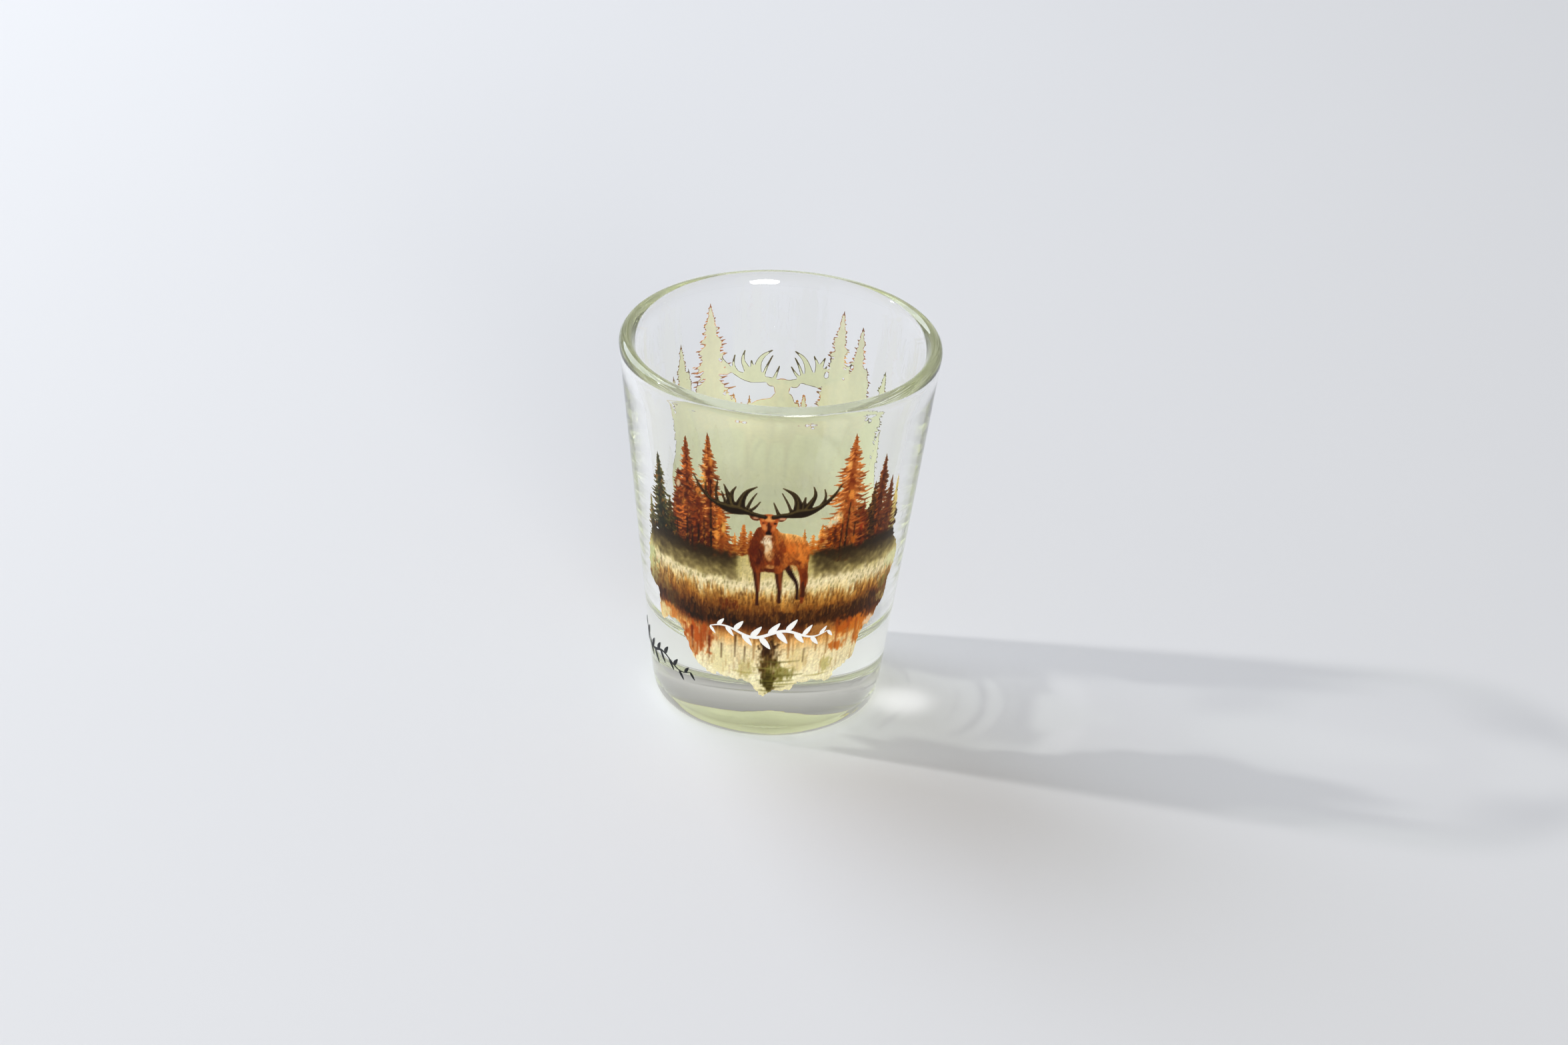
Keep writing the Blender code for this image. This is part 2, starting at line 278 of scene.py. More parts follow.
# The land and its reflection, anticlockwise.
LAND = (
    (-62, 30), (-62, 28), (-63, 26), (-64, 24.5), (-60, 23), (-56, 22), (-56, 20), (-57, 18.5),
    (-54, 17), (-52, 18.5), (-48, 18.5), (-44, 19), (-41, 17.5), (-39, 16), (-38, 15),
    (-36.5, 13.5), (-33, 12.5), (-30, 12), (-27, 11), (-24, 11.6), (-18, 11.5), (-8, 11),
    (-6, 10.5), (-2, 8.6), (-1, 8), (0.5, 8.8), (3, 9.5), (12, 9.6), (14, 11.1), (20, 11.1),
    (28, 10.7), (31.5, 10.8), (34, 12.3), (40, 13.2), (43, 13.6), (43.5, 15), (44, 16.5),
    (47, 18.8), (52, 19), (53, 20.5), (59, 22.5), (60, 24), (61, 26), (63, 28), (65, 29.5),
    (62, 32), (58, 34.5), (44, 33), (26, 33), (20, 35.5), (14, 35), (0, 34), (-8, 35.5),
    (-14, 34), (-20, 33), (-44, 33), (-57, 33.5),
)  # fmt: skip

# Colours of the land by height: height, colour.
LAND_STOPS = (
    (8.0, (222, 214, 168)), (12.0, CREAM), (17.0, (234, 218, 176)), (19.3, (214, 164, 102)),
    (20.6, (116, 72, 40)), (22.2, (62, 40, 22)), (23.6, (86, 54, 28)), (25.0, (140, 92, 44)),
    (26.4, (186, 142, 80)), (27.6, (220, 200, 150)), (29.2, STRAW), (30.4, (222, 208, 166)),
    (31.6, (190, 176, 122)), (33.0, (132, 118, 74)), (34.6, (92, 76, 46)),
)  # fmt: skip

# How much lower the shade under the trees reaches on the left.
LEFT_DROP_MM = 0.8

# Pale ground behind the stag, in millimetres: its middle, its edge's softness, its reach to
# each side and the height of the darkest colour that it takes.
OPEN_GROUND = (0.7, 4.0, 3.6, 31.2)

# Soft touches of colour: azimuth, height, reach across and up in millimetres, colour, strength.
LAND_TOUCHES = (
    (-59, 27.5, 1.8, 3.2, PALE_GREEN, 0.85), (-60, 24.0, 1.8, 1.6, (176, 168, 112), 0.8),
    (-52, 24.5, 1.8, 1.6, (150, 130, 84), 0.7), (-46, 22.5, 1.6, 2.0, (92, 76, 50), 0.8),
    (-34, 22.3, 2.6, 1.9, (50, 36, 24), 0.95), (-19, 22.6, 3.0, 1.7, (48, 34, 22), 0.95),
    (-17, 25.3, 1.5, 1.2, (100, 50, 22), 0.85), (-5, 22.6, 3.4, 1.2, (64, 42, 24), 0.8),
    (10, 23.6, 4.5, 1.2, (60, 40, 24), 0.85), (28, 23.8, 4.5, 1.2, (62, 42, 26), 0.9),
    (46, 24.0, 3.6, 1.1, (64, 46, 28), 0.85), (57, 26.0, 1.6, 1.5, (126, 124, 68), 0.9),
    (60, 29.2, 1.9, 1.6, (218, 216, 170), 0.9), (56, 23.2, 1.4, 1.2, (196, 176, 116), 0.8),
    (2, 19.8, 5.0, 1.0, (120, 82, 46), 0.6), (24, 20.8, 3.5, 1.1, (190, 140, 86), 0.7),
    (-47, 20.0, 1.8, 1.5, (196, 130, 70), 0.9), (-53, 19.5, 1.5, 1.6, (222, 206, 158), 0.9),
    (-33, 17.4, 3.0, 3.0, (176, 92, 42), 0.95), (-37, 15.5, 1.4, 1.6, (196, 122, 66), 0.8),
    (-27, 18.6, 1.5, 1.8, (158, 84, 42), 0.8), (-22, 14.5, 2.0, 2.4, (228, 218, 172), 0.8),
    (36, 20.2, 2.2, 1.8, (184, 104, 42), 0.95), (44, 20.0, 2.2, 1.6, (198, 122, 50), 0.95),
    (32.5, 17.0, 1.4, 1.2, (190, 112, 50), 0.9), (42.5, 17.4, 0.9, 1.1, (192, 118, 56), 0.9),
    (50, 19.6, 1.0, 1.0, (232, 204, 172), 0.9), (27, 14.0, 1.4, 1.6, (188, 178, 120), 0.8),
    (1.5, 14.5, 1.9, 4.4, (80, 62, 30), 0.95), (1.5, 11.5, 1.5, 2.4, (70, 62, 26), 0.9),
    (1.2, 17.8, 1.7, 1.8, (62, 42, 24), 0.95), (7.5, 13.0, 2.4, 1.6, (130, 124, 66), 0.75),
    (-8, 13.4, 1.7, 1.8, (178, 168, 106), 0.55), (14, 15.5, 1.6, 2.4, (222, 204, 150), 0.7),
)  # fmt: skip
# Upright reflections in the water: azimuth, low and high end, width, colour.
WATER_STREAKS = (
    (-20.5, 14.8, 17.4, 0.35, DARK_BROWN), (-26.5, 14.2, 18.2, 0.40, MAROON),
    (-14.0, 15.5, 19.5, 0.40, DARK_BROWN), (-9.7, 14.8, 17.6, 0.30, DARK_BROWN),
    (-31.0, 15.0, 19.6, 0.50, DEEP_ORANGE), (-35.5, 15.0, 19.0, 0.45, MAROON),
    (-5.5, 15.5, 19.5, 0.45, BROWN), (16.7, 15.0, 17.4, 0.22, DARK_BROWN),
    (27.0, 16.0, 22.0, 0.60, BROWN), (31.5, 16.5, 22.0, 0.70, DEEP_ORANGE),
    (22.0, 16.8, 20.5, 0.35, BROWN), (37.5, 16.8, 21.5, 0.50, DEEP_ORANGE),
    (-53.5, 20.4, 22.2, 0.25, BROWN), (42.0, 16.0, 21.0, 0.40, DEEP_ORANGE),
    (9.5, 15.8, 19.0, 0.40, BROWN), (-39.0, 16.4, 19.0, 0.35, DEEP_ORANGE),
)  # fmt: skip
# First and last azimuth and lowest height of the mist under the trees.
UNDERGROWTH = ((-58, -14, 30.1), (17, 59, 30.9))
WATER_RIPPLES = (
    (-3, 15, 15.2, OLIVE), (-6, 12, 13.9, (150, 142, 86)), (-2, 17, 12.6, OLIVE),
    (-4, 13, 11.5, (120, 115, 60)), (-2, 9, 10.4, (92, 84, 40)), (-16, -4, 12.8, (176, 164, 104)),
    (17, 30, 12.2, (180, 168, 110)), (-3, 6, 9.6, OLIVE), (1, 14, 10.9, (146, 138, 80)),
)  # fmt: skip

# The stag, in outline and in strokes. A stroke's station is azimuth, height and width.
STAG_BODY = (
    (-5.3, 40.3), (-6.6, 39.3), (-7.8, 37.8), (-8.9, 36.2), (-9.1, 35.2), (-8.6, 33.8),
    (-7.4, 32.2), (-5.6, 31.6), (-3.8, 31.9), (-1.0, 32.2), (1.4, 31.9), (3.4, 31.6),
    (5.4, 32.4), (7.0, 33.3), (9.2, 33.4), (11.4, 32.6), (14.4, 32.4), (15.3, 34.0),
    (15.5, 35.5), (15.0, 36.8), (13.5, 37.9), (11.5, 38.5), (9.0, 39.0), (5.0, 39.2),
    (3.0, 39.3), (1.6, 40.3),
)  # fmt: skip
STAG_HIND_LEG = (
    (9.6, 34.0), (11.2, 32.2), (12.0, 31.0), (12.3, 29.8), (12.6, 28.4), (12.9, 26.6),
    (13.1, 26.1), (14.5, 26.1), (14.6, 27.4), (14.9, 28.9), (15.7, 30.2), (15.1, 31.8),
    (15.2, 33.6), (13.0, 35.0),
)  # fmt: skip
STAG_LEGS = (
    ((6.4, 33.2, 1.0), (8.6, 31.4, 0.8), (10.8, 30.2, 0.55), (11.6, 28.4, 0.42),
     (11.5, 27.0, 0.40)),
    ((-5.6, 33.0, 1.5), (-5.3, 30.6, 0.95), (-5.0, 28.4, 0.58), (-5.0, 26.6, 0.50),
     (-4.9, 25.9, 0.60)),
    ((3.4, 33.0, 1.5), (3.5, 30.8, 1.05), (4.0, 28.8, 0.62), (4.1, 27.2, 0.52),
     (4.2, 26.5, 0.60)),
)  # fmt: skip
STAG_HEAD = (
    (-4.4, 42.2), (-5.0, 41.3), (-4.4, 40.3), (-3.0, 39.4), (-2.3, 38.7), (-1.2, 38.3),
    (-0.1, 38.7), (0.6, 39.5), (1.7, 40.3), (2.3, 41.3), (1.9, 42.1), (0.3, 42.6), (-2.9, 42.6),
)  # fmt: skip
STAG_EARS = (
    ((-4.2, 42.0), (-6.6, 42.4), (-9.4, 42.1), (-7.8, 41.2), (-5.0, 41.2)),
    ((1.6, 42.0), (3.6, 42.4), (5.8, 42.1), (4.4, 41.3), (2.2, 41.2)),
)
BEAMS = (
    ((-3.0, 42.0, 0.75), (-7, 42.3, 0.75), (-10, 42.6, 1.0), (-13, 42.9, 2.0), (-16, 42.8, 2.0),
     (-19, 43.0, 1.3), (-22, 43.3, 0.8), (-25, 43.9, 0.6), (-28, 45.0, 0.5), (-31.4, 47.3, 0.2)),
    ((0.3, 42.0, 0.75), (3.5, 42.4, 0.75), (6.5, 42.4, 1.0), (9, 42.8, 1.8), (11.5, 42.9, 2.0),
     (14.5, 43.0, 1.3), (17.5, 43.5, 0.85), (20.5, 44.4, 0.7), (23, 45.4, 0.5),
     (25.8, 47.2, 0.2)),
)  # fmt: skip
TINES = (
    ((-15.4, 43.2, 1.4), (-17.0, 45.0, 0.85), (-18.8, 46.9, 0.2)),
    ((-16.0, 43.6, 1.0), (-16.0, 45.6, 0.6), (-14.0, 46.9, 0.2)),
    ((-12.8, 43.2, 1.7), (-11.9, 44.8, 1.0), (-10.0, 46.3, 0.7), (-6.2, 47.3, 0.2)),
    ((-10.2, 42.8, 0.6), (-8.3, 44.8, 0.4), (-6.2, 46.2, 0.2)),
    ((-9.5, 42.7, 0.6), (-7.0, 43.4, 0.45), (-4.8, 44.7, 0.2)),
    ((-21.0, 43.2, 0.6), (-22.3, 44.9, 0.42), (-21.3, 47.2, 0.2)),
    ((-18.0, 43.3, 0.6), (-18.7, 44.3, 0.45), (-19.8, 45.6, 0.2)),
    ((-25.0, 43.9, 0.5), (-26.3, 45.0, 0.35), (-26.2, 46.4, 0.2)),
    ((9.4, 43.1, 1.6), (9.4, 44.8, 1.0), (7.5, 46.3, 0.7), (3.3, 47.3, 0.2)),
    ((12.4, 43.2, 1.4), (14.6, 44.8, 0.85), (15.9, 45.9, 0.55), (14.7, 47.4, 0.2)),
    ((11.2, 43.4, 0.9), (11.9, 45.6, 0.25)),
    ((17.8, 43.6, 0.7), (20.0, 45.1, 0.45), (19.0, 46.8, 0.2)),
    ((7.0, 42.7, 0.5), (5.8, 44.3, 0.4), (3.1, 46.4, 0.2)),
    ((2.3, 42.4, 0.6), (1.3, 43.4, 0.42), (0.1, 44.7, 0.2)),
)  # fmt: skip

# The stag's colours.
ANTLER_DARK = (46, 36, 24)
ANTLER_LIGHT = (118, 106, 70)
COAT_DARK = (104, 52, 26)
COAT_FLANK = (196, 120, 60)
COAT_RIDGE = (238, 192, 124)
FAR_LEG = (52, 30, 18)
NEAR_LEG = (70, 40, 24)
LIT_LEG = (150, 84, 42)
HIND_LEG = (128, 66, 30)
EAR = (92, 52, 32)
EAR_LINING = (214, 164, 132)
MUZZLE = (172, 94, 52)
# Touches on the coat and on the face, as in the land's.
COAT_TOUCHES = (
    (12.4, 35.6, 1.0, 1.6, (214, 134, 66), 0.8), (7.0, 36.4, 1.2, 1.2, (206, 118, 54), 0.7),
    (4.2, 36.0, 0.8, 1.8, (110, 52, 24), 0.75), (-6.6, 36.0, 0.7, 1.8, (96, 44, 22), 0.8),
    (10.2, 33.7, 1.0, 0.4, (96, 46, 22), 0.8), (-1.0, 32.3, 1.3, 0.4, (84, 42, 22), 0.85),
    (-1.8, 37.7, 0.95, 1.0, (244, 232, 204), 0.95), (-1.0, 36.3, 0.8, 1.3, (236, 214, 176), 0.9),
    (-0.6, 34.9, 0.5, 1.2, (206, 158, 108), 0.8), (-0.2, 33.0, 0.6, 0.4, (222, 176, 120), 0.6),
    (-4.6, 34.6, 0.5, 1.6, (70, 32, 18), 0.8), (2.4, 34.4, 0.4, 1.4, (88, 40, 20), 0.8),
    (14.0, 31.2, 0.5, 1.2, (96, 48, 24), 0.7), (13.8, 28.4, 0.4, 1.8, (66, 38, 24), 0.8),
)  # fmt: skip
FACE_TOUCHES = (
    (-1.3, 41.7, 0.8, 0.5, (222, 156, 96), 0.9), (-1.2, 40.2, 0.32, 1.1, (70, 38, 24), 0.9),
    (-1.2, 39.1, 0.5, 0.42, (40, 26, 20), 0.95), (-3.4, 40.9, 0.2, 0.16, (40, 24, 18), 0.9),
    (1.0, 40.9, 0.2, 0.16, (40, 24, 18), 0.9), (-3.0, 40.1, 0.3, 0.5, (206, 140, 88), 0.8),
    (0.7, 40.1, 0.3, 0.5, (206, 140, 88), 0.8), (-1.2, 38.6, 0.4, 0.16, (226, 204, 170), 0.8),
)  # fmt: skip

# The brush's scattered strokes: how many, between which azimuths and between which heights.
FOREST_FLECKS = (650, (17, 57), (33, 47))
WATER_FLECKS = (260, (-45, 50), (12, 19))
GRASS_BLADES = (1500, (-60, 61), (21.5, 27.6))
MEADOW_SPECKS = (160, (-58, 58), (27.8, 30.2))
COAT_HAIRS = (260, (-8.5, 15), (32.5, 39))
MIST_STROKES = 520
# Darkest and lightest colours of some of them.
GRASS_TONES = ((64, 36, 18), (238, 182, 100))
MIST_TONES = ((52, 42, 28), (196, 180, 124))
HAIR_TONES = ((74, 34, 18), (236, 164, 90))


def shade(colour):
    return np.array(colour) / 255.0


def noise(x, z, grain_x, grain_z, seed):
    """Smooth noise from 0 to 1, with its grain in millimetres across and up."""
    lattice = np.random.default_rng(seed).random((NOISE_CELLS, NOISE_CELLS))
    u, v = x / grain_x + NOISE_CELLS, z / grain_z
    i, j = np.floor(u).astype(int), np.floor(v).astype(int)
    s, t = u - i, v - j
    s, t = s * s * (3 - 2 * s), t * t * (3 - 2 * t)
    left, right = i % NOISE_CELLS, (i + 1) % NOISE_CELLS
    low, high = j % NOISE_CELLS, (j + 1) % NOISE_CELLS
    below = lattice[low, left] * (1 - s) + lattice[low, right] * s
    above = lattice[high, left] * (1 - s) + lattice[high, right] * s
    return below * (1 - t) + above * t


def rounded(points, closed):
    """The outline with its corners cut twice, which rounds it."""
    line = np.array(points, float)
    for _ in range(2):
        ahead = np.roll(line, -1, 0) if closed else line[1:]
        here = line if closed else line[:-1]
        cut = np.empty((2 * len(here), line.shape[1]))
        cut[0::2] = here * 0.75 + ahead * 0.25
        cut[1::2] = here * 0.25 + ahead * 0.75
        line = cut if closed else np.vstack((line[:1], cut, line[-1:]))
    return line


def on_sheet(points):
    """Degrees and millimetres to millimetres of arc and of height, keeping any width."""
    flat = np.array(points, float)
    flat[:, 0] *= MM_PER_DEGREE
    return flat


def rising(value, start, reach, least=0.0):
    """From least to 1 as the value goes from the start up by the reach."""
    return np.clip((value - start) / reach, least, 1)


def off_line(x, z, start, end):
    """How far places are from the line between two points, and their share of its length."""
    run_x, run_z = end[0] - start[0], end[1] - start[1]
    share = ((x - start[0]) * run_x + (z - start[1]) * run_z) / (run_x**2 + run_z**2)
    share = np.clip(share, 0, 1)
    return np.hypot(x - start[0] - share * run_x, z - start[1] - share * run_z), share


class Canvas:
    """The colour of the ink and how far it covers the glass, painted from back to front."""

    def __init__(self):
        span = (ART_AZIMUTH[1] - ART_AZIMUTH[0]) * MM_PER_DEGREE
        rise = ART_HEIGHT[1] - ART_HEIGHT[0]
        wide, tall = round(span / CANVAS_MM), round(rise / CANVAS_MM)
        self.x = np.linspace(*ART_AZIMUTH, wide) * MM_PER_DEGREE
        self.z = np.linspace(*ART_HEIGHT, tall)
        self.colour = np.zeros((tall, wide, 3)) + shade(STRAW)
        self.cover = np.zeros((tall, wide))

    def window(self, points, margin):
        """The rows and columns round some points, with their places in millimetres."""
        low, high = points[:, :2].min(0) - margin, points[:, :2].max(0) + margin
        columns = slice(*np.searchsorted(self.x, (low[0], high[0])))
        rows = slice(*np.searchsorted(self.z, (low[1], high[1])))
        return rows, columns, self.x[None, columns], self.z[rows, None]

    def lay(self, rows, columns, mask, colour, prints=True):
        """Blends a colour in by its mask and, if it prints, adds the mask to the cover."""
        mask = mask[..., None]
        self.colour[rows, columns] += (colour - self.colour[rows, columns]) * mask
        if prints:
            cover = self.cover[rows, columns]
            np.maximum(cover, mask[..., 0], out=cover)

    def area(self, points, colour, ragged=0.0, seed=0):
        """Fills a rounded outline. Ragged is how far its edge wanders, in millimetres."""
        outline = on_sheet(rounded(points, True))
        rows, columns, x, z = self.window(outline, FINE_EDGE_MM + ragged)
        away = np.full((z.size, x.size), np.inf)
        odd = np.zeros(away.shape, bool)
        for start, end in zip(outline, np.roll(outline, -1, 0)):
            away = np.minimum(away, off_line(x, z, start, end)[0])
            if start[1] != end[1]:
                (x0, z0), (x1, z1) = start, end
                odd ^= ((z0 > z) != (z1 > z)) & (x < x0 + (z - z0) * (x1 - x0) / (z1 - z0))
        inside = np.where(odd, away, -away)
        if ragged:
            inside = inside + ragged * (2 * noise(x, z, *COARSE_EDGE, seed) - 1)
            inside = inside + 0.5 * ragged * (2 * noise(x, z, *FINE_EDGE, seed + 1) - 1)
        mask = np.clip(0.5 + inside / FINE_EDGE_MM, 0, 1)
        self.lay(rows, columns, mask, colour(x, z) if callable(colour) else shade(colour))

    def stroke(self, stations, colour, soft=FINE_EDGE_MM, strength=1.0, prints=True):
        """Draws a tapering line through stations of azimuth, height and width."""
        line = on_sheet(stations)
        rows, columns, x, z = self.window(line, line[:, 2].max() + soft)
        if x.size == 0 or z.size == 0:
            return
        mask = np.zeros((z.size, x.size))
        for start, end in zip(line, line[1:]):
            away, share = off_line(x, z, start, end)
            half = (start[2] + (end[2] - start[2]) * share) / 2
            mask = np.maximum(mask, np.clip(0.5 + (half - away) / soft, 0, 1))
        self.lay(rows, columns, mask * strength, shade(colour), prints)

    def mark(self, start, end, colour, strength, soft=FINE_EDGE_MM):
        """A single straight stroke that stays inside what is printed already."""
        self.stroke((start, end), colour, soft, strength, prints=False)

    def touch(self, azimuth, height, across, up, colour, strength, seed=0):
        """A soft patch of colour that stays inside what is printed already."""
        centre = on_sheet([(azimuth, height)])
        rows, columns, x, z = self.window(centre, 1.6 * max(across, up))
        away = np.hypot((x - centre[0, 0]) / across, (z - centre[0, 1]) / up)
        away = away + 0.7 * (noise(x, z, *COARSE_TOUCH, seed) - 0.5)
        away = away + 0.8 * (noise(x, z, *FINE_TOUCH, seed + 1) - 0.5)
        mask = np.clip((1.1 - away) / 0.45, 0, 1) * strength
        self.lay(rows, columns, mask, shade(colour), prints=False)


def between(low, high, share):
    return np.array(low) + (np.array(high) - np.array(low)) * share


def paint_spruce(canvas, tree, chance):
    """Boughs on both sides of a trunk, dark ones first and then lit ones over them."""
    azimuth, tip, foot, left, right, widest, dark, light = tree
    heart = 0.8 * min(widest, (tip - foot) * (left + right) / 2)
    trunk = ((azimuth, tip, 0.12), (azimuth, tip - 3.0, 0.3 * heart), (azimuth, foot, heart))
    canvas.stroke(trunk, dark)
    for lit in (False, True):
        height = tip - 0.7
        while height > foot:
            for side, spread in ((-1, left), (1, right)):
                fall = tip - height
                reach = min(widest, fall * spread) * chance.uniform(*BOUGH_REACH) + 0.1
                if lit:
                    reach *= chance.uniform(0.6, 1.0)
                start = chance.uniform(0.15, 0.6) * reach if lit else 0.0
                droop = reach * chance.uniform(0.15, 0.45)
                width = min(BOUGH_WIDTH_MM, 0.2 + 0.05 * fall) * (0.5 if lit else 1.0)
                glow = LEE_SIDE if side > 0 else 1.0
                depth = np.clip(0.6 + (height - 33) / 14, 0.6, 1.05)
                light_share = chance.uniform(0.35, 1.35) * glow if lit else chance.uniform(-0.15, 0.3)
                tone = between(dark, light, light_share) * depth
                out = [side * length / MM_PER_DEGREE for length in (start, 0.65 * reach, reach)]
                bough = (
                    (azimuth + out[0], height - 0.3 * start, width),
                    (azimuth + out[1], height - droop, width * 0.8),
                    (azimuth + out[2], height - droop * 0.8, 0.12),
                )
                canvas.stroke(bough, np.clip(tone, 0, 255))
            height -= BOUGH_STEP_MM * chance.uniform(0.7, 1.3)


def scattered(chance, count, azimuths, heights):
    """Random places for strokes."""
    for _ in range(count):
        yield chance.uniform(*azimuths), chance.uniform(*heights)


def paint_forest(canvas, chance):
    canvas.area(LEFT_MASS, MAROON, ragged=0.9, seed=3)
    canvas.area(RIGHT_MASS, DARK_BROWN, ragged=0.9, seed=5)
    for tree in TREES:
        paint_spruce(canvas, tree, chance)
    for azimuth, low, high, width in TRUNKS:
        canvas.stroke(((azimuth, low, width), (azimuth + 0.3, high, width * 0.6)), UMBER)
    for azimuth, height, colour in FOREST_TOUCHES:
        canvas.touch(azimuth, height, *GLOW_REACH, colour, GLOW_STRENGTH, seed=round(height * 10))
    count, azimuths, heights = FOREST_FLECKS
    for _ in range(count):
        side = chance.choice((-1, 1))
        azimuth = side * chance.uniform(*azimuths) - 1.5
        height = chance.uniform(*heights)
        tone = between(UMBER, LIGHT_ORANGE, chance.uniform(0, 1) ** 1.2)
        end = (azimuth + 0.6 * side, height - chance.uniform(0.2, 0.7), 0.1)
        canvas.mark((azimuth, height, 0.16), end, tone, 0.7)


def land_colour(x, z):
    """Bands of meadow, grass, bank and water, blended by height with a ragged edge."""
    heights = [stop[0] for stop in LAND_STOPS]
    drift = 1.5 * (noise(x, z, *BAND_DRIFT) - 0.5) + 1.2 * (noise(x, z, *BAND_FRINGE) - 0.5)
    level = z + drift * rising(z, 18, 4, 0.25)
    level = level + LEFT_DROP_MM * rising(-x, 4, 3) * rising(z, 28, 2)
    middle, softness, reach, highest = OPEN_GROUND
    wander = 2.5 * (noise(x, z, *GROUND_EDGE) - 0.5)
    closed_in = rising(np.abs(x - middle) + wander, reach, softness)
    level = np.minimum(level, highest + np.maximum(level - highest, 0) * closed_in)
    bands = [np.interp(level, heights, [stop[1][i] for stop in LAND_STOPS]) for i in range(3)]
    blades = (noise(x, z, *GRASS_GRAIN) - 0.5) * (1 - 0.6 * rising(z, 27, 2))
    specks = noise(x, z, *LAND_SPECKS) - 0.5
    light = 1 + 0.34 * blades * rising(z, 15, 6, 0.25) + 0.16 * specks
    return np.clip(np.stack(bands, -1) / 255.0 * light[..., None], 0, 1)


def paint_land(canvas, chance):
    canvas.area(LAND, land_colour, ragged=0.32, seed=9)
    for index, touch in enumerate(LAND_TOUCHES):
        canvas.touch(*touch, seed=40 + 2 * index)
    for azimuth, low, high, width, colour in WATER_STREAKS:
        end = (azimuth + chance.uniform(-0.4, 0.4), low, 0.15)
        canvas.mark((azimuth, high, width), end, colour, 0.75, soft=0.3)
    for azimuth, low in scattered(chance, *WATER_FLECKS):
        tone = between(CREAM, BROWN, chance.uniform(0, 0.9))
        end = (azimuth, low + chance.uniform(0.5, 2.2), 0.1)
        canvas.mark((azimuth, low, 0.16), end, tone, 0.5, soft=0.2)
    for first, last, height, colour in WATER_RIPPLES:
        middle = ((first + last) / 2, height - 0.12, 0.3)
        ripple = ((first, height, 0.08), middle, (last, height, 0.08))
        canvas.stroke(ripple, colour, soft=0.2, strength=0.8, prints=False)
    for azimuth, foot in scattered(chance, *GRASS_BLADES):
        tall = chance.uniform(0.5, 1.6)
        sunlit = chance.uniform(0, 1) * rising(foot, 20, 7, 0.2)
        end = (azimuth + chance.uniform(-0.8, 0.8), foot + tall, 0.06)
        canvas.mark((azimuth, foot, 0.16), end, between(*GRASS_TONES, sunlit), 0.75)
    for azimuth, height in scattered(chance, *MEADOW_SPECKS):
        canvas.mark((azimuth, height, 0.14), (azimuth + 0.2, height + 0.45, 0.1), OLIVE, 0.7)
    for first, last, lowest in UNDERGROWTH:
        for _ in range(MIST_STROKES):
            azimuth = chance.uniform(first, last)
            height = lowest + 4.6 * chance.uniform(0, 1) ** 0.8
            edge = min(azimuth - first, last - azimuth) / 6
            low = np.clip((lowest + 4.0 - height) / 3.6, 0.05, 1)
            tone = between(*MIST_TONES, chance.uniform(0.2, 1) * low)
            lean = chance.uniform(-1.2, 1.2)
            start = (azimuth - lean, height - 0.3, 0.6)
            end = (azimuth + lean, height + 0.3, 0.3)
            canvas.mark(start, end, tone, 0.55 * min(1.0, 0.3 + edge), soft=0.5)


def fur(x, z):
    """Red-brown at the neck, orange along the flank and dark below."""
    azimuth = x / MM_PER_DEGREE
    across = rising(azimuth, -5.5, 12) + 0 * z
    up = rising(z, 32, 6.5) + 0 * x
    dark, flank = shade(COAT_DARK), shade(COAT_FLANK)
    coat = dark + (flank - dark) * (across * (0.35 + 0.65 * up))[..., None]
    ridge = rising(z + 0.1 * np.maximum(azimuth - 6, 0), 37.6, 1.4) * rising(azimuth, 2, 3)
    coat = coat + (shade(COAT_RIDGE) - coat) * (0.75 * ridge)[..., None]
    hair = noise(x + 0.35 * z, z, *COAT_GRAIN) - 0.5
    return np.clip(coat * (1 + 0.5 * hair)[..., None], 0, 1)


def paint_stag(canvas, chance):
    for colour, stations in zip((FAR_LEG, NEAR_LEG, NEAR_LEG), STAG_LEGS):
        canvas.stroke(rounded(stations, False), colour)
    canvas.area(STAG_HIND_LEG, HIND_LEG)
    canvas.area(STAG_BODY, fur)
    for stations in STAG_LEGS[1:]:
        upper = [(a + 0.5, h, w * 0.45) for a, h, w in stations[:3]]
        canvas.stroke(upper, LIT_LEG, soft=0.3, strength=0.7, prints=False)
    for touch in COAT_TOUCHES:
        canvas.touch(*touch, seed=round(touch[1] * 7))
    for azimuth, height in scattered(chance, *COAT_HAIRS):
        warm = rising(azimuth, -6, 14)
        tone = between(*HAIR_TONES, chance.uniform(0.1, 1) * (0.35 + 0.65 * warm))
        canvas.mark((azimuth, height, 0.13), (azimuth + 0.5, height - 0.55, 0.08), tone, 0.65)
    for ear in STAG_EARS:
        canvas.area(ear, EAR)
        canvas.touch(*np.mean(ear, 0), 0.5, 0.18, EAR_LINING, 0.9)
    canvas.area(STAG_HEAD, MUZZLE)
    for touch in FACE_TOUCHES:
        canvas.touch(*touch, seed=round(touch[1] * 3))


def paint_antlers(canvas):
    for stations in (*BEAMS, *TINES):
        canvas.stroke(rounded(stations, False), ANTLER_DARK)
    for stations in (*BEAMS, *TINES):
        line = [(a - 0.15, h + 0.22 * w, w * 0.24) for a, h, w in rounded(stations, False)]
        canvas.stroke(line, ANTLER_LIGHT, strength=0.55, prints=False)


def softened(field, reach):
    """The field averaged over a square that reaches so many cells each way."""
    for axis in (0, 1):
        total = sum(np.roll(field, shift, axis) for shift in range(-reach, reach + 1))
        field = total / (2 * reach + 1)
    return field


def graded(colour):
    """Deepens the darks, lifts the lights and strengthens the hues."""
    grey = colour.mean(-1, keepdims=True)
    rich = grey + (colour - grey) * SATURATION
    return np.clip(MIDDLE_TONE + (rich - MIDDLE_TONE) * CONTRAST - DEEPENING, 0, 1)


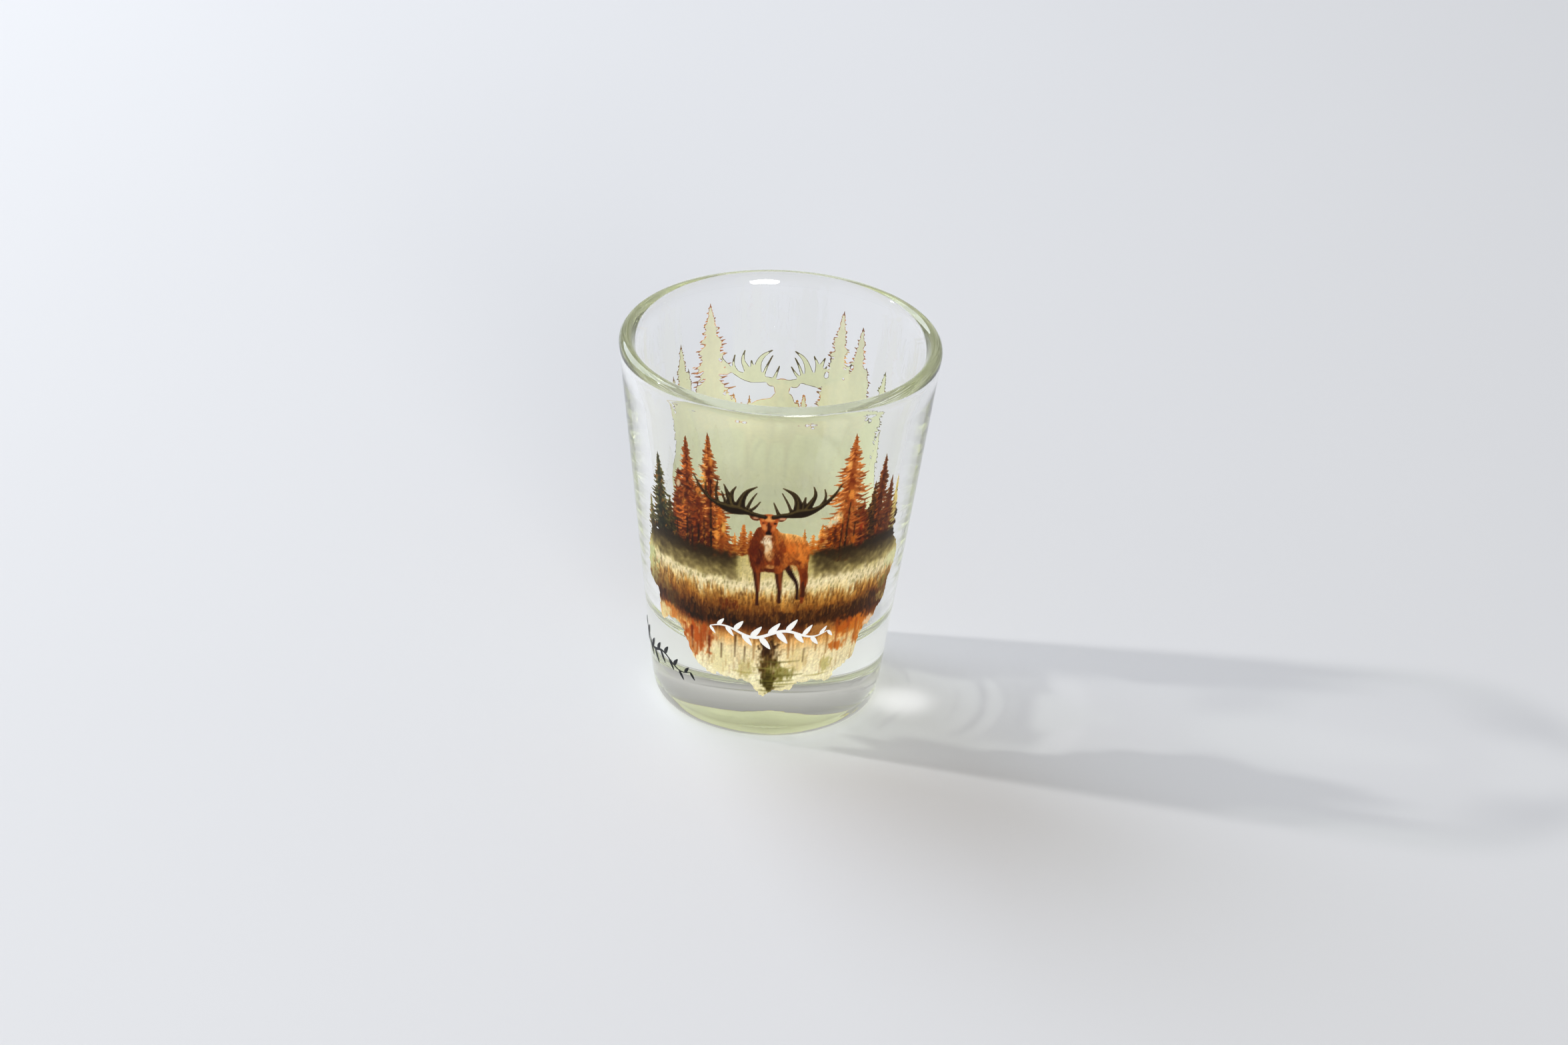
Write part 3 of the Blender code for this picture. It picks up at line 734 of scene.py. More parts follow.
def paint_artwork():
    """The colour, its cover and the cover of the white under it."""
    chance = np.random.default_rng(BRUSH_SEED)
    canvas = Canvas()
    paint_forest(canvas, chance)
    paint_land(canvas, chance)
    paint_stag(canvas, chance)
    paint_antlers(canvas)
    under = np.clip((softened(canvas.cover, UNDER_CELLS) - UNDER_INSET) / UNDER_SOFT, 0, 1)
    fibre = noise(canvas.x[None], canvas.z[:, None], *INK_FIBRE) - 0.5
    canvas.colour = graded(canvas.colour * (1 + FIBRE_DEPTH * fibre[..., None]))
    return canvas, under


def add_node(tree, kind, inputs=None, **settings):
    """Adds a node, with its settings, and fills or links its inputs."""
    made = tree.nodes.new(kind)
    for name, value in settings.items():
        setattr(made, name, value)
    for key, value in (inputs or {}).items():
        if isinstance(value, bpy.types.NodeSocket):
            tree.links.new(value, made.inputs[key])
        else:
            made.inputs[key].default_value = value
    return made


def flow(tree, kind, inputs=None, **settings):
    """The first output of a new node."""
    return add_node(tree, kind, inputs, **settings).outputs[0]


def math_node(tree, operation, first, second=0.0, clamp=False):
    inputs = {0: first, 1: second}
    return flow(tree, "ShaderNodeMath", inputs, operation=operation, use_clamp=clamp)


def noise_node(tree, place, scale, detail):
    inputs = {"Vector": place, "Scale": scale, "Detail": detail}
    return flow(tree, "ShaderNodeTexNoise", inputs)


def bump_node(tree, relief, height):
    """A bump from its relief, which is a strength and a distance."""
    inputs = {"Strength": relief[0], "Distance": relief[1], "Height": height}
    return flow(tree, "ShaderNodeBump", inputs)


def mixed_colour(tree, share, first, second, **settings):
    inputs = {0: share, 6: first, 7: second}
    return add_node(tree, "ShaderNodeMix", inputs, data_type="RGBA", **settings).outputs[2]


def socket_group(kind, name, inputs, outputs):
    """An empty node group with named sockets, and its input and output nodes."""
    group = bpy.data.node_groups.new(name, kind)
    for label, socket, default in inputs:
        made = group.interface.new_socket(label, in_out="INPUT", socket_type=socket)
        if default is not None:
            made.default_value = default
    for label, socket in outputs:
        group.interface.new_socket(label, in_out="OUTPUT", socket_type=socket)
    return group, group.nodes.new("NodeGroupInput"), group.nodes.new("NodeGroupOutput")


def linear(colour):
    """Display values from 0 to 1 as scene-linear ones, by the standard curve."""
    colour = np.asarray(colour, float)
    return np.where(colour <= 0.04045, colour / 12.92, ((colour + 0.055) / 1.055) ** DISPLAY_GAMMA)


# Materials


def new_material(name, colour, **values):
    material = bpy.data.materials.new(name)
    material.use_nodes = True
    shader = material.node_tree.nodes["Principled BSDF"]
    shader.inputs["Base Color"].default_value = (*colour, 1.0)
    for label, value in values.items():
        shader.inputs[label.replace("_", " ")].default_value = value
    return material, material.node_tree, shader


def ink_grain_group():
    """Mottling, sheen and relief of fired ink, from places on the object."""
    group, given, result = socket_group(
        "ShaderNodeTree",
        GRAIN_GROUP,
        (
            ("Grain Size", "NodeSocketFloat", 0.0002),
            ("Mottling", "NodeSocketFloat", 0.1),
            ("Roughness", "NodeSocketFloat", 0.4),
            ("Streaks", "NodeSocketFloat", 0.0),
        ),
        [(label, "NodeSocketFloat") for label in ("Shade", "Roughness", "Height")],
    )

    def calc(operation, first, second, clamp=False):
        return math_node(group, operation, first, second, clamp)

    place = add_node(group, "ShaderNodeTexCoord").outputs["Object"]
    scale = calc("DIVIDE", 1.0, given.outputs["Grain Size"])
    fine = noise_node(group, place, scale, 3.0)
    broad = noise_node(group, place, INK_PATCHES, 4.0)
    upright = flow(group, "ShaderNodeMapping", {"Vector": place, "Scale": STREAK_STRETCH})
    streak = noise_node(group, upright, INK_STREAKS, 3.0)
    spread = calc("MULTIPLY", calc("SUBTRACT", fine, 0.5), given.outputs["Mottling"])
    lines = calc("MULTIPLY", calc("SUBTRACT", streak, 0.5), given.outputs["Streaks"])
    patches = calc("MULTIPLY", calc("SUBTRACT", broad, 0.5), PATCH_SHEEN)
    for label, value in (
        ("Shade", calc("ADD", calc("ADD", spread, lines), 1.0)),
        ("Roughness", calc("ADD", given.outputs["Roughness"], patches, clamp=True)),
        ("Height", fine),
    ):
        group.links.new(value, result.inputs[label])
    return group


def ink_material(name, colour, grain, attribute=None):
    """Fired ink with its own grain. Its colour is plain or, if one is named, an attribute."""
    material, tree, shader = new_material(
        name, colour, IOR=INK_IOR, Specular_IOR_Level=INK_SPECULAR
    )
    group = bpy.data.node_groups.get(GRAIN_GROUP) or ink_grain_group()
    grain = add_node(tree, "ShaderNodeGroup", grain, node_tree=group)
    source = (*colour, 1.0)
    if attribute:
        source = add_node(tree, "ShaderNodeAttribute", attribute_name=attribute).outputs["Color"]
    tinted = mixed_colour(tree, 1.0, source, grain.outputs["Shade"], blend_type="MULTIPLY")
    tree.links.new(tinted, shader.inputs["Base Color"])
    tree.links.new(grain.outputs["Roughness"], shader.inputs["Roughness"])
    bump = bump_node(tree, INK_RELIEF, grain.outputs["Height"])
    tree.links.new(bump, shader.inputs["Normal"])
    return material


def glass_material(settings):
    """Soda-lime glass with a sage tint in its depth and faint handling marks."""
    material, tree, shader = new_material(
        "pressed_clear_glass", (1.0, 1.0, 1.0), Transmission_Weight=1.0, IOR=settings.ior
    )
    place = add_node(tree, "ShaderNodeTexCoord").outputs["Object"]
    marks = noise_node(tree, place, HANDLING_MARKS, 5.0)
    rough = flow(tree, "ShaderNodeMapRange", {"Value": marks, **HANDLING_SHEEN})
    tree.links.new(rough, shader.inputs["Roughness"])
    tint = {"Color": (*settings.depth_tint, 1.0), "Density": settings.depth_density}
    depth = flow(tree, "ShaderNodeVolumeAbsorption", tint)
    output = tree.nodes["Material Output"]
    tree.links.new(depth, output.inputs["Volume"])
    edge = add_node(tree, "ShaderNodeLayerWeight", {"Blend": SHADOW_BLEND}).outputs["Facing"]
    passed = mixed_colour(tree, edge, (*SHADOW_FACING, 1.0), (*SHADOW_EDGE, 1.0))
    clear = flow(tree, "ShaderNodeBsdfTransparent", {"Color": passed})
    lamp_ray = add_node(tree, "ShaderNodeLightPath").outputs["Is Shadow Ray"]
    shown = flow(tree, "ShaderNodeMixShader", {0: lamp_ray, 1: shader.outputs[0], 2: clear})
    tree.links.new(shown, output.inputs["Surface"])
    return material


def floor_material(settings):
    """Matt white board with a faint tooth and faint clouds."""
    colour = settings.floor_colour
    material, tree, shader = new_material("studio_floor", colour, Roughness=0.75)
    place = add_node(tree, "ShaderNodeTexCoord").outputs["Object"]
    cloud = noise_node(tree, place, FLOOR_CLOUDS, 2.0)
    tone = add_node(tree, "ShaderNodeValToRGB", {"Fac": cloud})
    for stop, position, depth in zip(
        tone.color_ramp.elements, FLOOR_CLOUD_EDGES, (FLOOR_CLOUD_TONE, 1.0)
    ):
        stop.position, stop.color = position, (*[c * depth for c in colour], 1.0)
    tree.links.new(tone.outputs[0], shader.inputs["Base Color"])
    bump = bump_node(tree, FLOOR_RELIEF, noise_node(tree, place, FLOOR_TOOTH, 2.0))
    tree.links.new(bump, shader.inputs["Normal"])
    return material


# Meshes


def placed(name, data):
    """A new object that holds the data, linked to the scene."""
    made = bpy.data.objects.new(name, data)
    bpy.context.scene.collection.objects.link(made)
    return made


def finished(name, tree, source, values, material):
    """Runs a geometry tree once on a mesh and keeps the plain result."""
    worker = placed(name + "_worker", source)
    modifier = worker.modifiers.new("Shape", "NODES")
    modifier.node_group = tree
    sockets = {item.name: item.identifier for item in tree.interface.items_tree}
    for label, value in {**values, "Material": material}.items():
        modifier[sockets[label]] = value
    worker.update_tag()
    graph = bpy.context.evaluated_depsgraph_get()
    mesh = bpy.data.meshes.new_from_object(worker.evaluated_get(graph), depsgraph=graph)
    bpy.data.objects.remove(worker, do_unlink=True)
    if not mesh.polygons:
        raise RuntimeError(f"{name} came out empty")
    mesh.name = name
    if not mesh.materials:
        mesh.materials.append(material)
    return placed(name, mesh)


def outer_radius(height, settings):
    """Radius of the outer cone at a height, in metres."""
    run = settings.height - settings.lip_radius
    return settings.foot_radius + (settings.rim_radius - settings.foot_radius) * height / run


def arc(centre, across, up, start, end, steps):
    """Points (radius, height) along an elliptical arc, its angles in degrees from straight out."""
    angles = np.radians(np.linspace(start, end, steps + 1))
    return [(centre[0] + across * math.cos(a), centre[1] + up * math.sin(a)) for a in angles]


def glass_section(settings):
    """Half the section, from the middle of the underside round to the middle of the floor."""
    s = settings
    hollow = [
        (s.hollow_radius * i / HOLLOW_STEPS, s.hollow_depth * (1 - (i / HOLLOW_STEPS) ** 2))
        for i in range(HOLLOW_STEPS + 1)
    ]
    heel_middle = (s.foot_radius - s.heel_radius, s.heel_radius)
    heel = arc(heel_middle, s.heel_radius, s.heel_radius, -90, 0, ROUND_STEPS)
    wall = [
        (outer_radius(h, s), h)
        for h in np.linspace(2 * s.heel_radius, s.height - 2 * s.lip_radius, WALL_STEPS)
    ]
    lip_middle = (s.rim_radius - s.lip_radius, s.height - s.lip_radius)
    lip = arc(lip_middle, s.lip_radius, s.lip_radius, 0, 90, ROUND_STEPS)
    ease_middle = (s.rim_radius - s.lip_radius, s.height - s.lip_ease)
    fillet_middle = (s.floor_radius - s.floor_fillet, s.base_thickness + s.floor_fillet)
    lean = (lip_middle[0] - s.lip_radius - s.floor_radius) / (lip_middle[1] - fillet_middle[1])
    ease_reach = ease_middle[0] - (s.floor_radius + lean * (ease_middle[1] - fillet_middle[1]))
    ease = arc(ease_middle, ease_reach, s.lip_ease, 90, 180, 2 * ROUND_STEPS)[1:]
    inner = [
        (s.floor_radius + lean * (h - fillet_middle[1]), h)
        for h in np.linspace(ease_middle[1], fillet_middle[1], WALL_STEPS)[1:-1]
    ]
    fillet = arc(fillet_middle, s.floor_fillet, s.floor_fillet, 0, -90, 2 * ROUND_STEPS)
    return hollow + heel + wall + lip + ease + inner + fillet + [(0.0, s.base_thickness)]


def turned_tree():
    """Sweeps a section round the upright axis and welds it where it meets the axis."""
    tree, given, result = socket_group(
        "GeometryNodeTree",
        "Turned section",
        (
            ("Geometry", "NodeSocketGeometry", None),
            ("Facets", "NodeSocketInt", 256),
            ("Weld Distance", "NodeSocketFloat", WELD_DISTANCE),
            ("Material", "NodeSocketMaterial", None),
        ),
        (("Geometry", "NodeSocketGeometry"),),
    )
    take = given.outputs
    section = flow(tree, "GeometryNodeMeshToCurve", {"Mesh": take["Geometry"]})
    circle = {"Resolution": take["Facets"], "Radius": TURNING_RADIUS}
    path = flow(tree, "GeometryNodeCurvePrimitiveCircle", circle)
    upright = flow(tree, "GeometryNodeSetCurveNormal", {"Curve": path}, mode="Z_UP")
    swept = flow(tree, "GeometryNodeCurveToMesh", {"Curve": upright, "Profile Curve": section})
    weld = {"Geometry": swept, "Distance": take["Weld Distance"]}
    welded = flow(tree, "GeometryNodeMergeByDistance", weld)
    tree.links.new(dressed(tree, welded, take["Material"]), result.inputs["Geometry"])
    return tree


def dressed(tree, geometry, material):
    """The end of each tree: smooth shading, plain geometry and its material."""
    smooth = {"Geometry": geometry, "Shade Smooth": True}
    smoothed = flow(tree, "GeometryNodeSetShadeSmooth", smooth)
    real = flow(tree, "GeometryNodeRealizeInstances", {"Geometry": smoothed})
    return flow(tree, "GeometryNodeSetMaterial", {"Geometry": real, "Material": material})


def face_outwards(mesh):
    """Welds what touches and turns every face outwards."""
    shape = bmesh.new()
    shape.from_mesh(mesh)
    bmesh.ops.remove_doubles(shape, verts=shape.verts, dist=WELD_DISTANCE)
    bmesh.ops.recalc_face_normals(shape, faces=shape.faces)
    shape.to_mesh(mesh)
    shape.free()


def sprig_tree():
    """A wavy stem with leaves on alternate sides, wrapped on the cone."""
    tree, given, result = socket_group(
        "GeometryNodeTree",
        "Wrapped sprig",
        (
            ("Geometry", "NodeSocketGeometry", None),
            ("First Azimuth", "NodeSocketFloat", -0.5),
            ("Last Azimuth", "NodeSocketFloat", 0.5),
            ("Middle Height", "NodeSocketFloat", 0.02),
            ("Rise", "NodeSocketFloat", 0.0007),
            ("Waves", "NodeSocketFloat", 2.5),
            ("Stem Width", "NodeSocketFloat", 0.00055),
            ("Leaf Count", "NodeSocketInt", 18),
            ("Leaf Length", "NodeSocketFloat", 0.0024),
            ("Ink Thickness", "NodeSocketFloat", 0.00003),
            ("Stand Off", "NodeSocketFloat", 0.00006),
            ("Foot Radius", "NodeSocketFloat", 0.0177),
            ("Flare", "NodeSocketFloat", 0.1),
            ("Mean Radius", "NodeSocketFloat", 0.021),
            ("Material", "NodeSocketMaterial", None),
        ),
        (("Geometry", "NodeSocketGeometry"),),
    )
    take = given.outputs

    def calc(operation, first, second=0.0):
        return math_node(tree, operation, first, second)

    def vector(x, y, z):
        return add_node(tree, "ShaderNodeCombineXYZ", {0: x, 1: y, 2: z}).outputs[0]

    def node(kind, inputs=None, **settings):
        return flow(tree, "GeometryNode" + kind, inputs, **settings)

    def moved(geometry, position):
        return node("SetPosition", {"Geometry": geometry, "Position": position})

    def swelling(along, growth):
        """One end's growth and what the middle adds to it."""
        bell = calc("SINE", calc("MULTIPLY", along, math.pi))
        return calc("ADD", calc("MULTIPLY", bell, growth[1]), growth[0])

    # The stem runs flat along x, in metres of arc, with its height as y.
    along = add_node(tree, "GeometryNodeSplineParameter").outputs["Factor"]
    line = node("CurvePrimitiveLine", {"End": (1.0, 0.0, 0.0)})
    line = node("ResampleCurve", {"Curve": line, "Count": STEM_STEPS})
    span = calc("SUBTRACT", take["Last Azimuth"], take["First Azimuth"])
    azimuth = calc("ADD", take["First Azimuth"], calc("MULTIPLY", span, along))
    turn = calc("MULTIPLY", calc("MULTIPLY", along, take["Waves"]), math.tau)
    wave = calc("MULTIPLY", calc("SINE", turn), take["Rise"])
    arc_length = calc("MULTIPLY", azimuth, take["Mean Radius"])
    stem = moved(line, vector(arc_length, calc("ADD", wave, take["Middle Height"]), 0.0))
    wire = {"Resolution": WIRE_SIDES, "Radius": calc("MULTIPLY", take["Stem Width"], 0.5)}
    wire = node("CurvePrimitiveCircle", wire)
    taper = swelling(along, STEM_GROWTH)
    rod = {"Curve": stem, "Profile Curve": wire, "Scale": taper, "Fill Caps": True}
    rod = node("CurveToMesh", rod)
    place = node("InputPosition")
    x, y, z = add_node(tree, "ShaderNodeSeparateXYZ", {0: place}).outputs
    thin = calc("DIVIDE", take["Ink Thickness"], take["Stem Width"])
    rod = moved(rod, vector(x, y, calc("MULTIPLY", z, thin)))

    # A leaf is a flattened ball from its foot to its narrower tip.
    ball = node("MeshUVSphere", {"Segments": LEAF_SEGMENTS, "Rings": LEAF_RINGS, "Radius": 1.0})
    pointed = calc("SUBTRACT", 1.0, calc("MULTIPLY", x, LEAF_POINT))
    forward = calc("MULTIPLY", calc("ADD", x, 1.0), 0.5)
    across = calc("MULTIPLY", calc("MULTIPLY", y, pointed), LEAF_SLENDER)
    thin = calc("DIVIDE", take["Ink Thickness"], take["Leaf Length"])
    leaf = moved(ball, vector(forward, across, calc("MULTIPLY", z, thin)))
    spots = node("CurveToPoints", {"Curve": stem, "Count": take["Leaf Count"]}, mode="COUNT")
    index = node("InputIndex")
    side = calc("SUBTRACT", calc("MULTIPLY", calc("MODULO", index, 2.0), 2.0), 1.0)
    share = calc("DIVIDE", index, calc("SUBTRACT", take["Leaf Count"], 1.0))
    size = calc("MULTIPLY", swelling(share, LEAF_GROWTH), take["Leaf Length"])
    lean = vector(0.0, 0.0, calc("MULTIPLY", side, LEAF_LEAN))
    sown = {"Points": spots, "Instance": leaf, "Rotation": lean, "Scale": vector(size, size, size)}
    leaves = node("InstanceOnPoints", sown)
    joined = add_node(tree, "GeometryNodeJoinGeometry")
    for part in (rod, leaves):
        tree.links.new(part, joined.inputs[0])
    real = node("RealizeInstances", {"Geometry": joined.outputs[0]})

    # The flat sprig goes round the cone, standing a little off it.
    cone = calc("ADD", take["Foot Radius"], calc("MULTIPLY", y, take["Flare"]))
    radius = calc("ADD", calc("ADD", cone, take["Stand Off"]), z)
    angle = calc("DIVIDE", x, take["Mean Radius"])
    outward = calc("MULTIPLY", calc("MULTIPLY", radius, calc("COSINE", angle)), -1.0)
    wrapped = moved(real, vector(calc("MULTIPLY", radius, calc("SINE", angle)), outward, y))
    tree.links.new(dressed(tree, wrapped, take["Material"]), result.inputs[0])
    return tree


def read_between(canvas, layer, x, z):
    """The layer's values between its cells, for a row of x and a column of z."""
    column = np.interp(x, canvas.x, np.arange(canvas.x.size))
    row = np.interp(z, canvas.z, np.arange(canvas.z.size))
    i = np.minimum(column.astype(int), canvas.x.size - 2)
    j = np.minimum(row.astype(int), canvas.z.size - 2)
    s, t = column - i, row - j
    if layer.ndim == 3:
        s, t = s[..., None], t[..., None]
    low = layer[j, i] * (1 - s) + layer[j, i + 1] * s
    high = layer[j + 1, i] * (1 - s) + layer[j + 1, i + 1] * s
    return low * (1 - t) + high * t


def traced(canvas, cover, step):
    """Corners and faces of the covered area, its edge cut where the cover passes a half."""
    x = np.arange(canvas.x[0], canvas.x[-1], step)
    z = np.arange(canvas.z[0], canvas.z[-1], step)
    grid_x, grid_z = np.meshgrid(x, z)
    field = read_between(canvas, cover, grid_x, grid_z) - 0.5
    field[[0, -1]] = field[:, [0, -1]] = -0.5
    inside = field > 0
    corner = np.where(inside, np.cumsum(inside).reshape(inside.shape) - 1, -1)
    points = [np.stack((grid_x[inside], grid_z[inside]), -1)]
    count = len(points[0])
    crossing = []
    for axis in (1, 0):
        near, far = [slice(None)] * 2, [slice(None)] * 2
        near[axis], far[axis] = slice(None, -1), slice(1, None)
        near, far = tuple(near), tuple(far)
        cut = inside[near] != inside[far]
        share = field[near][cut] / (field[near][cut] - field[far][cut])
        share = np.clip(share, CROSSING_MARGIN, 1 - CROSSING_MARGIN) * step
        here = np.stack((grid_x[near][cut], grid_z[near][cut]), -1)
        here[:, 1 - axis] += share
        numbers = np.where(cut, count + np.cumsum(cut).reshape(cut.shape) - 1, -1)
        crossing.append(numbers)
        points.append(here)
        count += len(here)
    level, upright = crossing
    filled = inside[:-1, :-1].astype(int) + inside[:-1, 1:] + inside[1:, 1:] + inside[1:, :-1]
    whole = filled == 4
    squares = (corner[:-1, :-1], corner[:-1, 1:], corner[1:, 1:], corner[1:, :-1])
    faces = np.stack([square[whole] for square in squares], -1).tolist()
    rims = []
    for j, i in np.argwhere((filled > 0) & (filled < 4)):
        ring = ((j, i), (j, i + 1), (j + 1, i + 1), (j + 1, i))
        cuts = (level[j, i], upright[j, i + 1], level[j + 1, i], upright[j, i])
        face = []
        leaving = []
        for k in range(4):
            here, ahead = inside[ring[k]], inside[ring[(k + 1) % 4]]
            if here:
                face.append(int(corner[ring[k]]))
            if here != ahead:
                face.append(int(cuts[k]))
                leaving.append((int(cuts[k]), here))
        faces.append(face)
        for k, (number, leaves) in enumerate(leaving):
            if leaves:
                rims.append((number, leaving[(k + 1) % len(leaving)][0]))
    return np.vstack(points), faces, rims


def ink_sheet(name, canvas, cover, colour, step, levels, turn, settings, material):
    """A closed thin sheet of ink on the cone, with its colour kept at every corner."""
    flat, faces, rims = traced(canvas, cover, step)
    angle = flat[:, 0] / MEAN_RADIUS_MM + turn
    height = flat[:, 1] * MM
    sides = []
    for level in levels:
        radius = outer_radius(height, settings) + level * MM
        sides.append(np.stack((radius * np.sin(angle), -radius * np.cos(angle), height), -1))
    under, over = sides
    count = len(flat)
    backs = [[corner + count for corner in reversed(face)] for face in faces]
    edges = [(b, a, a + count, b + count) for a, b in rims]
    mesh = bpy.data.meshes.new(name)
    mesh.from_pydata(np.vstack((over, under)).tolist(), [], faces + backs + edges)
    tint = linear(np.clip(read_between(canvas, colour, flat[:, 0], flat[:, 1]), 0, 1))
    tint = np.hstack((tint, np.ones((count, 1))))
    layer = mesh.color_attributes.new(INK_LAYER, "FLOAT_COLOR", "POINT")
    layer.data.foreach_set("color", np.vstack((tint, tint)).astype(np.float32).ravel())
    mesh.materials.append(material)
    mesh.shade_smooth()
    mesh.set_sharp_from_angle(angle=SHARP_ANGLE)
    mesh.validate()
    return placed(name, mesh)


# Settings


def a_length(name, description, default):
    return FloatProperty(name=name, description=description, default=default, unit="LENGTH")


def an_angle(name, description, degrees):
    return FloatProperty(
        name=name, description=description, default=math.radians(degrees), subtype="ANGLE"
    )


def a_colour(name, description, default):
    return FloatVectorProperty(
        name=name, description=description, default=default, subtype="COLOR"
    )


def a_span(name, description, *degrees):
    ends = [math.radians(end) for end in degrees]
    return FloatVectorProperty(
        name=name, description=description, default=ends, size=2, unit="ROTATION"
    )


class GlassSettings(bpy.types.PropertyGroup):
    """Sizes and tint of the glass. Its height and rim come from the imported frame."""

    height: a_length("Height", "From the standing ring to the top of the lip", CAD_HIGH.z)
    rim_radius: a_length("Rim Radius", "Outer radius at the lip", CAD_HIGH.x)
    foot_radius: a_length("Foot Radius", "Radius of the outer cone at the table", 0.0177)
    lip_radius: a_length("Lip Radius", "Outer rounding of the lip", 0.0012)
    lip_ease: a_length("Lip Ease", "How far the lip's inner rounding runs down the wall", 0.0034)
    heel_radius: a_length("Heel Radius", "Rounding at the foot", 0.0015)
    base_thickness: a_length("Base Thickness", "Solid glass under the drink", 0.014)
    floor_radius: a_length("Floor Radius", "Inner radius above the floor's rounding", 0.0163)
    floor_fillet: a_length("Floor Fillet", "Rounding between the floor and the wall", 0.0035)
    hollow_radius: a_length("Hollow Radius", "Radius of the hollow under the base", 0.0115)
    hollow_depth: a_length("Hollow Depth", "Depth of the hollow under the base", 0.0008)
    facets: IntProperty(name="Facets", description="Divisions of a full turn", default=256)
    ior: FloatProperty(name="Refraction", description="Index of refraction", default=1.52)
    depth_tint: a_colour(
        "Depth Tint", "Colour that long paths through the glass keep", (0.945, 0.992, 0.68)
    )
    depth_density: FloatProperty(
        name="Depth Density", description="How strongly the depth tints, for each metre",
        default=6.0,
    )  # fmt: skip


class PrintSettings(bpy.types.PropertyGroup):
    """Ink colours and the sprigs' sizes."""

    white_ink: a_colour("White Ink", "Colour of the white sprigs", (0.93, 0.93, 0.90))
    black_ink: a_colour("Black Ink", "Colour of the side sprig", (0.012, 0.013, 0.015))
    base_tint: a_colour(
        "Base Tint", "White underbase as seen through the glass", (0.875, 0.895, 0.675)
    )
    white_span: a_span("White Sprig Span", "First and last azimuth of the white sprig", -26, 27)
    white_height: a_length("White Sprig Height", "Middle height of the white sprig", 0.0203)
    black_span: a_span("Black Sprig Span", "First and last azimuth of the black sprig", -142, -38)
    black_height: a_length("Black Sprig Height", "Middle height of the black sprig", 0.0098)
    leaf_length: a_length("Leaf Length", "Length of the leaves near a sprig's middle", 0.0026)


class StageSettings(bpy.types.PropertyGroup):
    """Floor, lights and camera."""

    floor_colour: a_colour("Floor Colour", "Colour of the floor", (0.80, 0.80, 0.81))
    key_power: FloatProperty(
        name="Key Power", description="Power of the small key light, in watts", default=10.5
    )
    sky_strength: FloatProperty(
        name="Sky Strength", description="Brightness of the soft surroundings", default=0.41
    )
    camera_distance: a_length(
        "Camera Distance", "From the camera to the pivot in the glass", 0.574
    )
    camera_elevation: an_angle("Camera Elevation", "Camera's angle above the horizon", 29.0)
    camera_roll: an_angle("Camera Roll", "Camera's turn about its own line of sight", 2.755)
    lens: FloatProperty(name="Lens", description="Focal length in millimetres", default=85.0)


# Operators


class GlassStep:
    """Shared manners of the building steps."""

    bl_options = {"REGISTER", "UNDO"}

    def carry(self, made, node, slot):
        made.cycles.is_caustics_receiver = node != "glass_body"
        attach(made, BODY)
        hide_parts(node)


class OBJECT_OT_shot_glass_body(GlassStep, bpy.types.Operator):
    """Turns the glass from its section"""

    bl_idname = "object.shot_glass_body"
    bl_label = "Glass"

    def execute(self, context):
        settings = context.scene.shot_glass
        section = glass_section(settings)
        source = bpy.data.meshes.new("section")
        points = [(radius - TURNING_RADIUS, -height, 0.0) for radius, height in section]
        source.from_pydata(points, [(i, i + 1) for i in range(len(points) - 1)], [])
        material = glass_material(settings)
        values = {"Facets": settings.facets}
        made = finished("turned_glass_body", turned_tree(), source, values, material)
        face_outwards(made.data)
        made.data.shade_smooth()
        made.cycles.is_caustics_caster = True
        self.carry(made, "glass_body", "clear_glass")
        return {"FINISHED"}


class OBJECT_OT_shot_glass_prints(GlassStep, bpy.types.Operator):
    """Paints the forest scene and wraps it on the front and on the back"""

    bl_idname = "object.shot_glass_prints"
    bl_label = "Forest Prints"

    def execute(self, context):
        settings, inks = context.scene.shot_glass, context.scene.shot_glass_inks
        colour_ink = ink_material("autumn_colour_ink", AUTUMN_MEAN, COLOUR_GRAIN, INK_LAYER)
        base_ink = ink_material("white_underbase_ink", BASE_MEAN, BASE_GRAIN, INK_LAYER)
        canvas, under = paint_artwork()
        show_through = softened(canvas.colour, SHOW_BLUR_CELLS)
        tint = np.array(inks.base_tint) ** (1 / DISPLAY_GAMMA)
        base_colour = tint + (show_through - tint) * SHOW_THROUGH
        # Painted light and shade: the underbase is lighter low and darker high, for how the light
        # falls.
        base_colour *= np.interp(canvas.z, UNDER_HEIGHTS_MM, UNDER_PAINTED_SHADE)[:, None, None]
        passes = (
            ("white_underbase", "white_base", "white_ink", under, base_colour, BASE_STEP_MM,
             BASE_LEVELS, base_ink),
            ("forest_print", "colour_print", "autumn_ink", canvas.cover, canvas.colour,
             SHEET_STEP_MM, COLOUR_LEVELS, colour_ink),
        )  # fmt: skip
        for side, turn in (("front", 0.0), ("rear", math.pi)):
            for name, node, slot, cover, colours, step, levels, ink in passes:
                made = ink_sheet(
                    f"{side}_{name}", canvas, cover, colours, step, levels, turn, settings, ink
                )
                self.carry(made, f"{side}_{node}", slot)
        return {"FINISHED"}


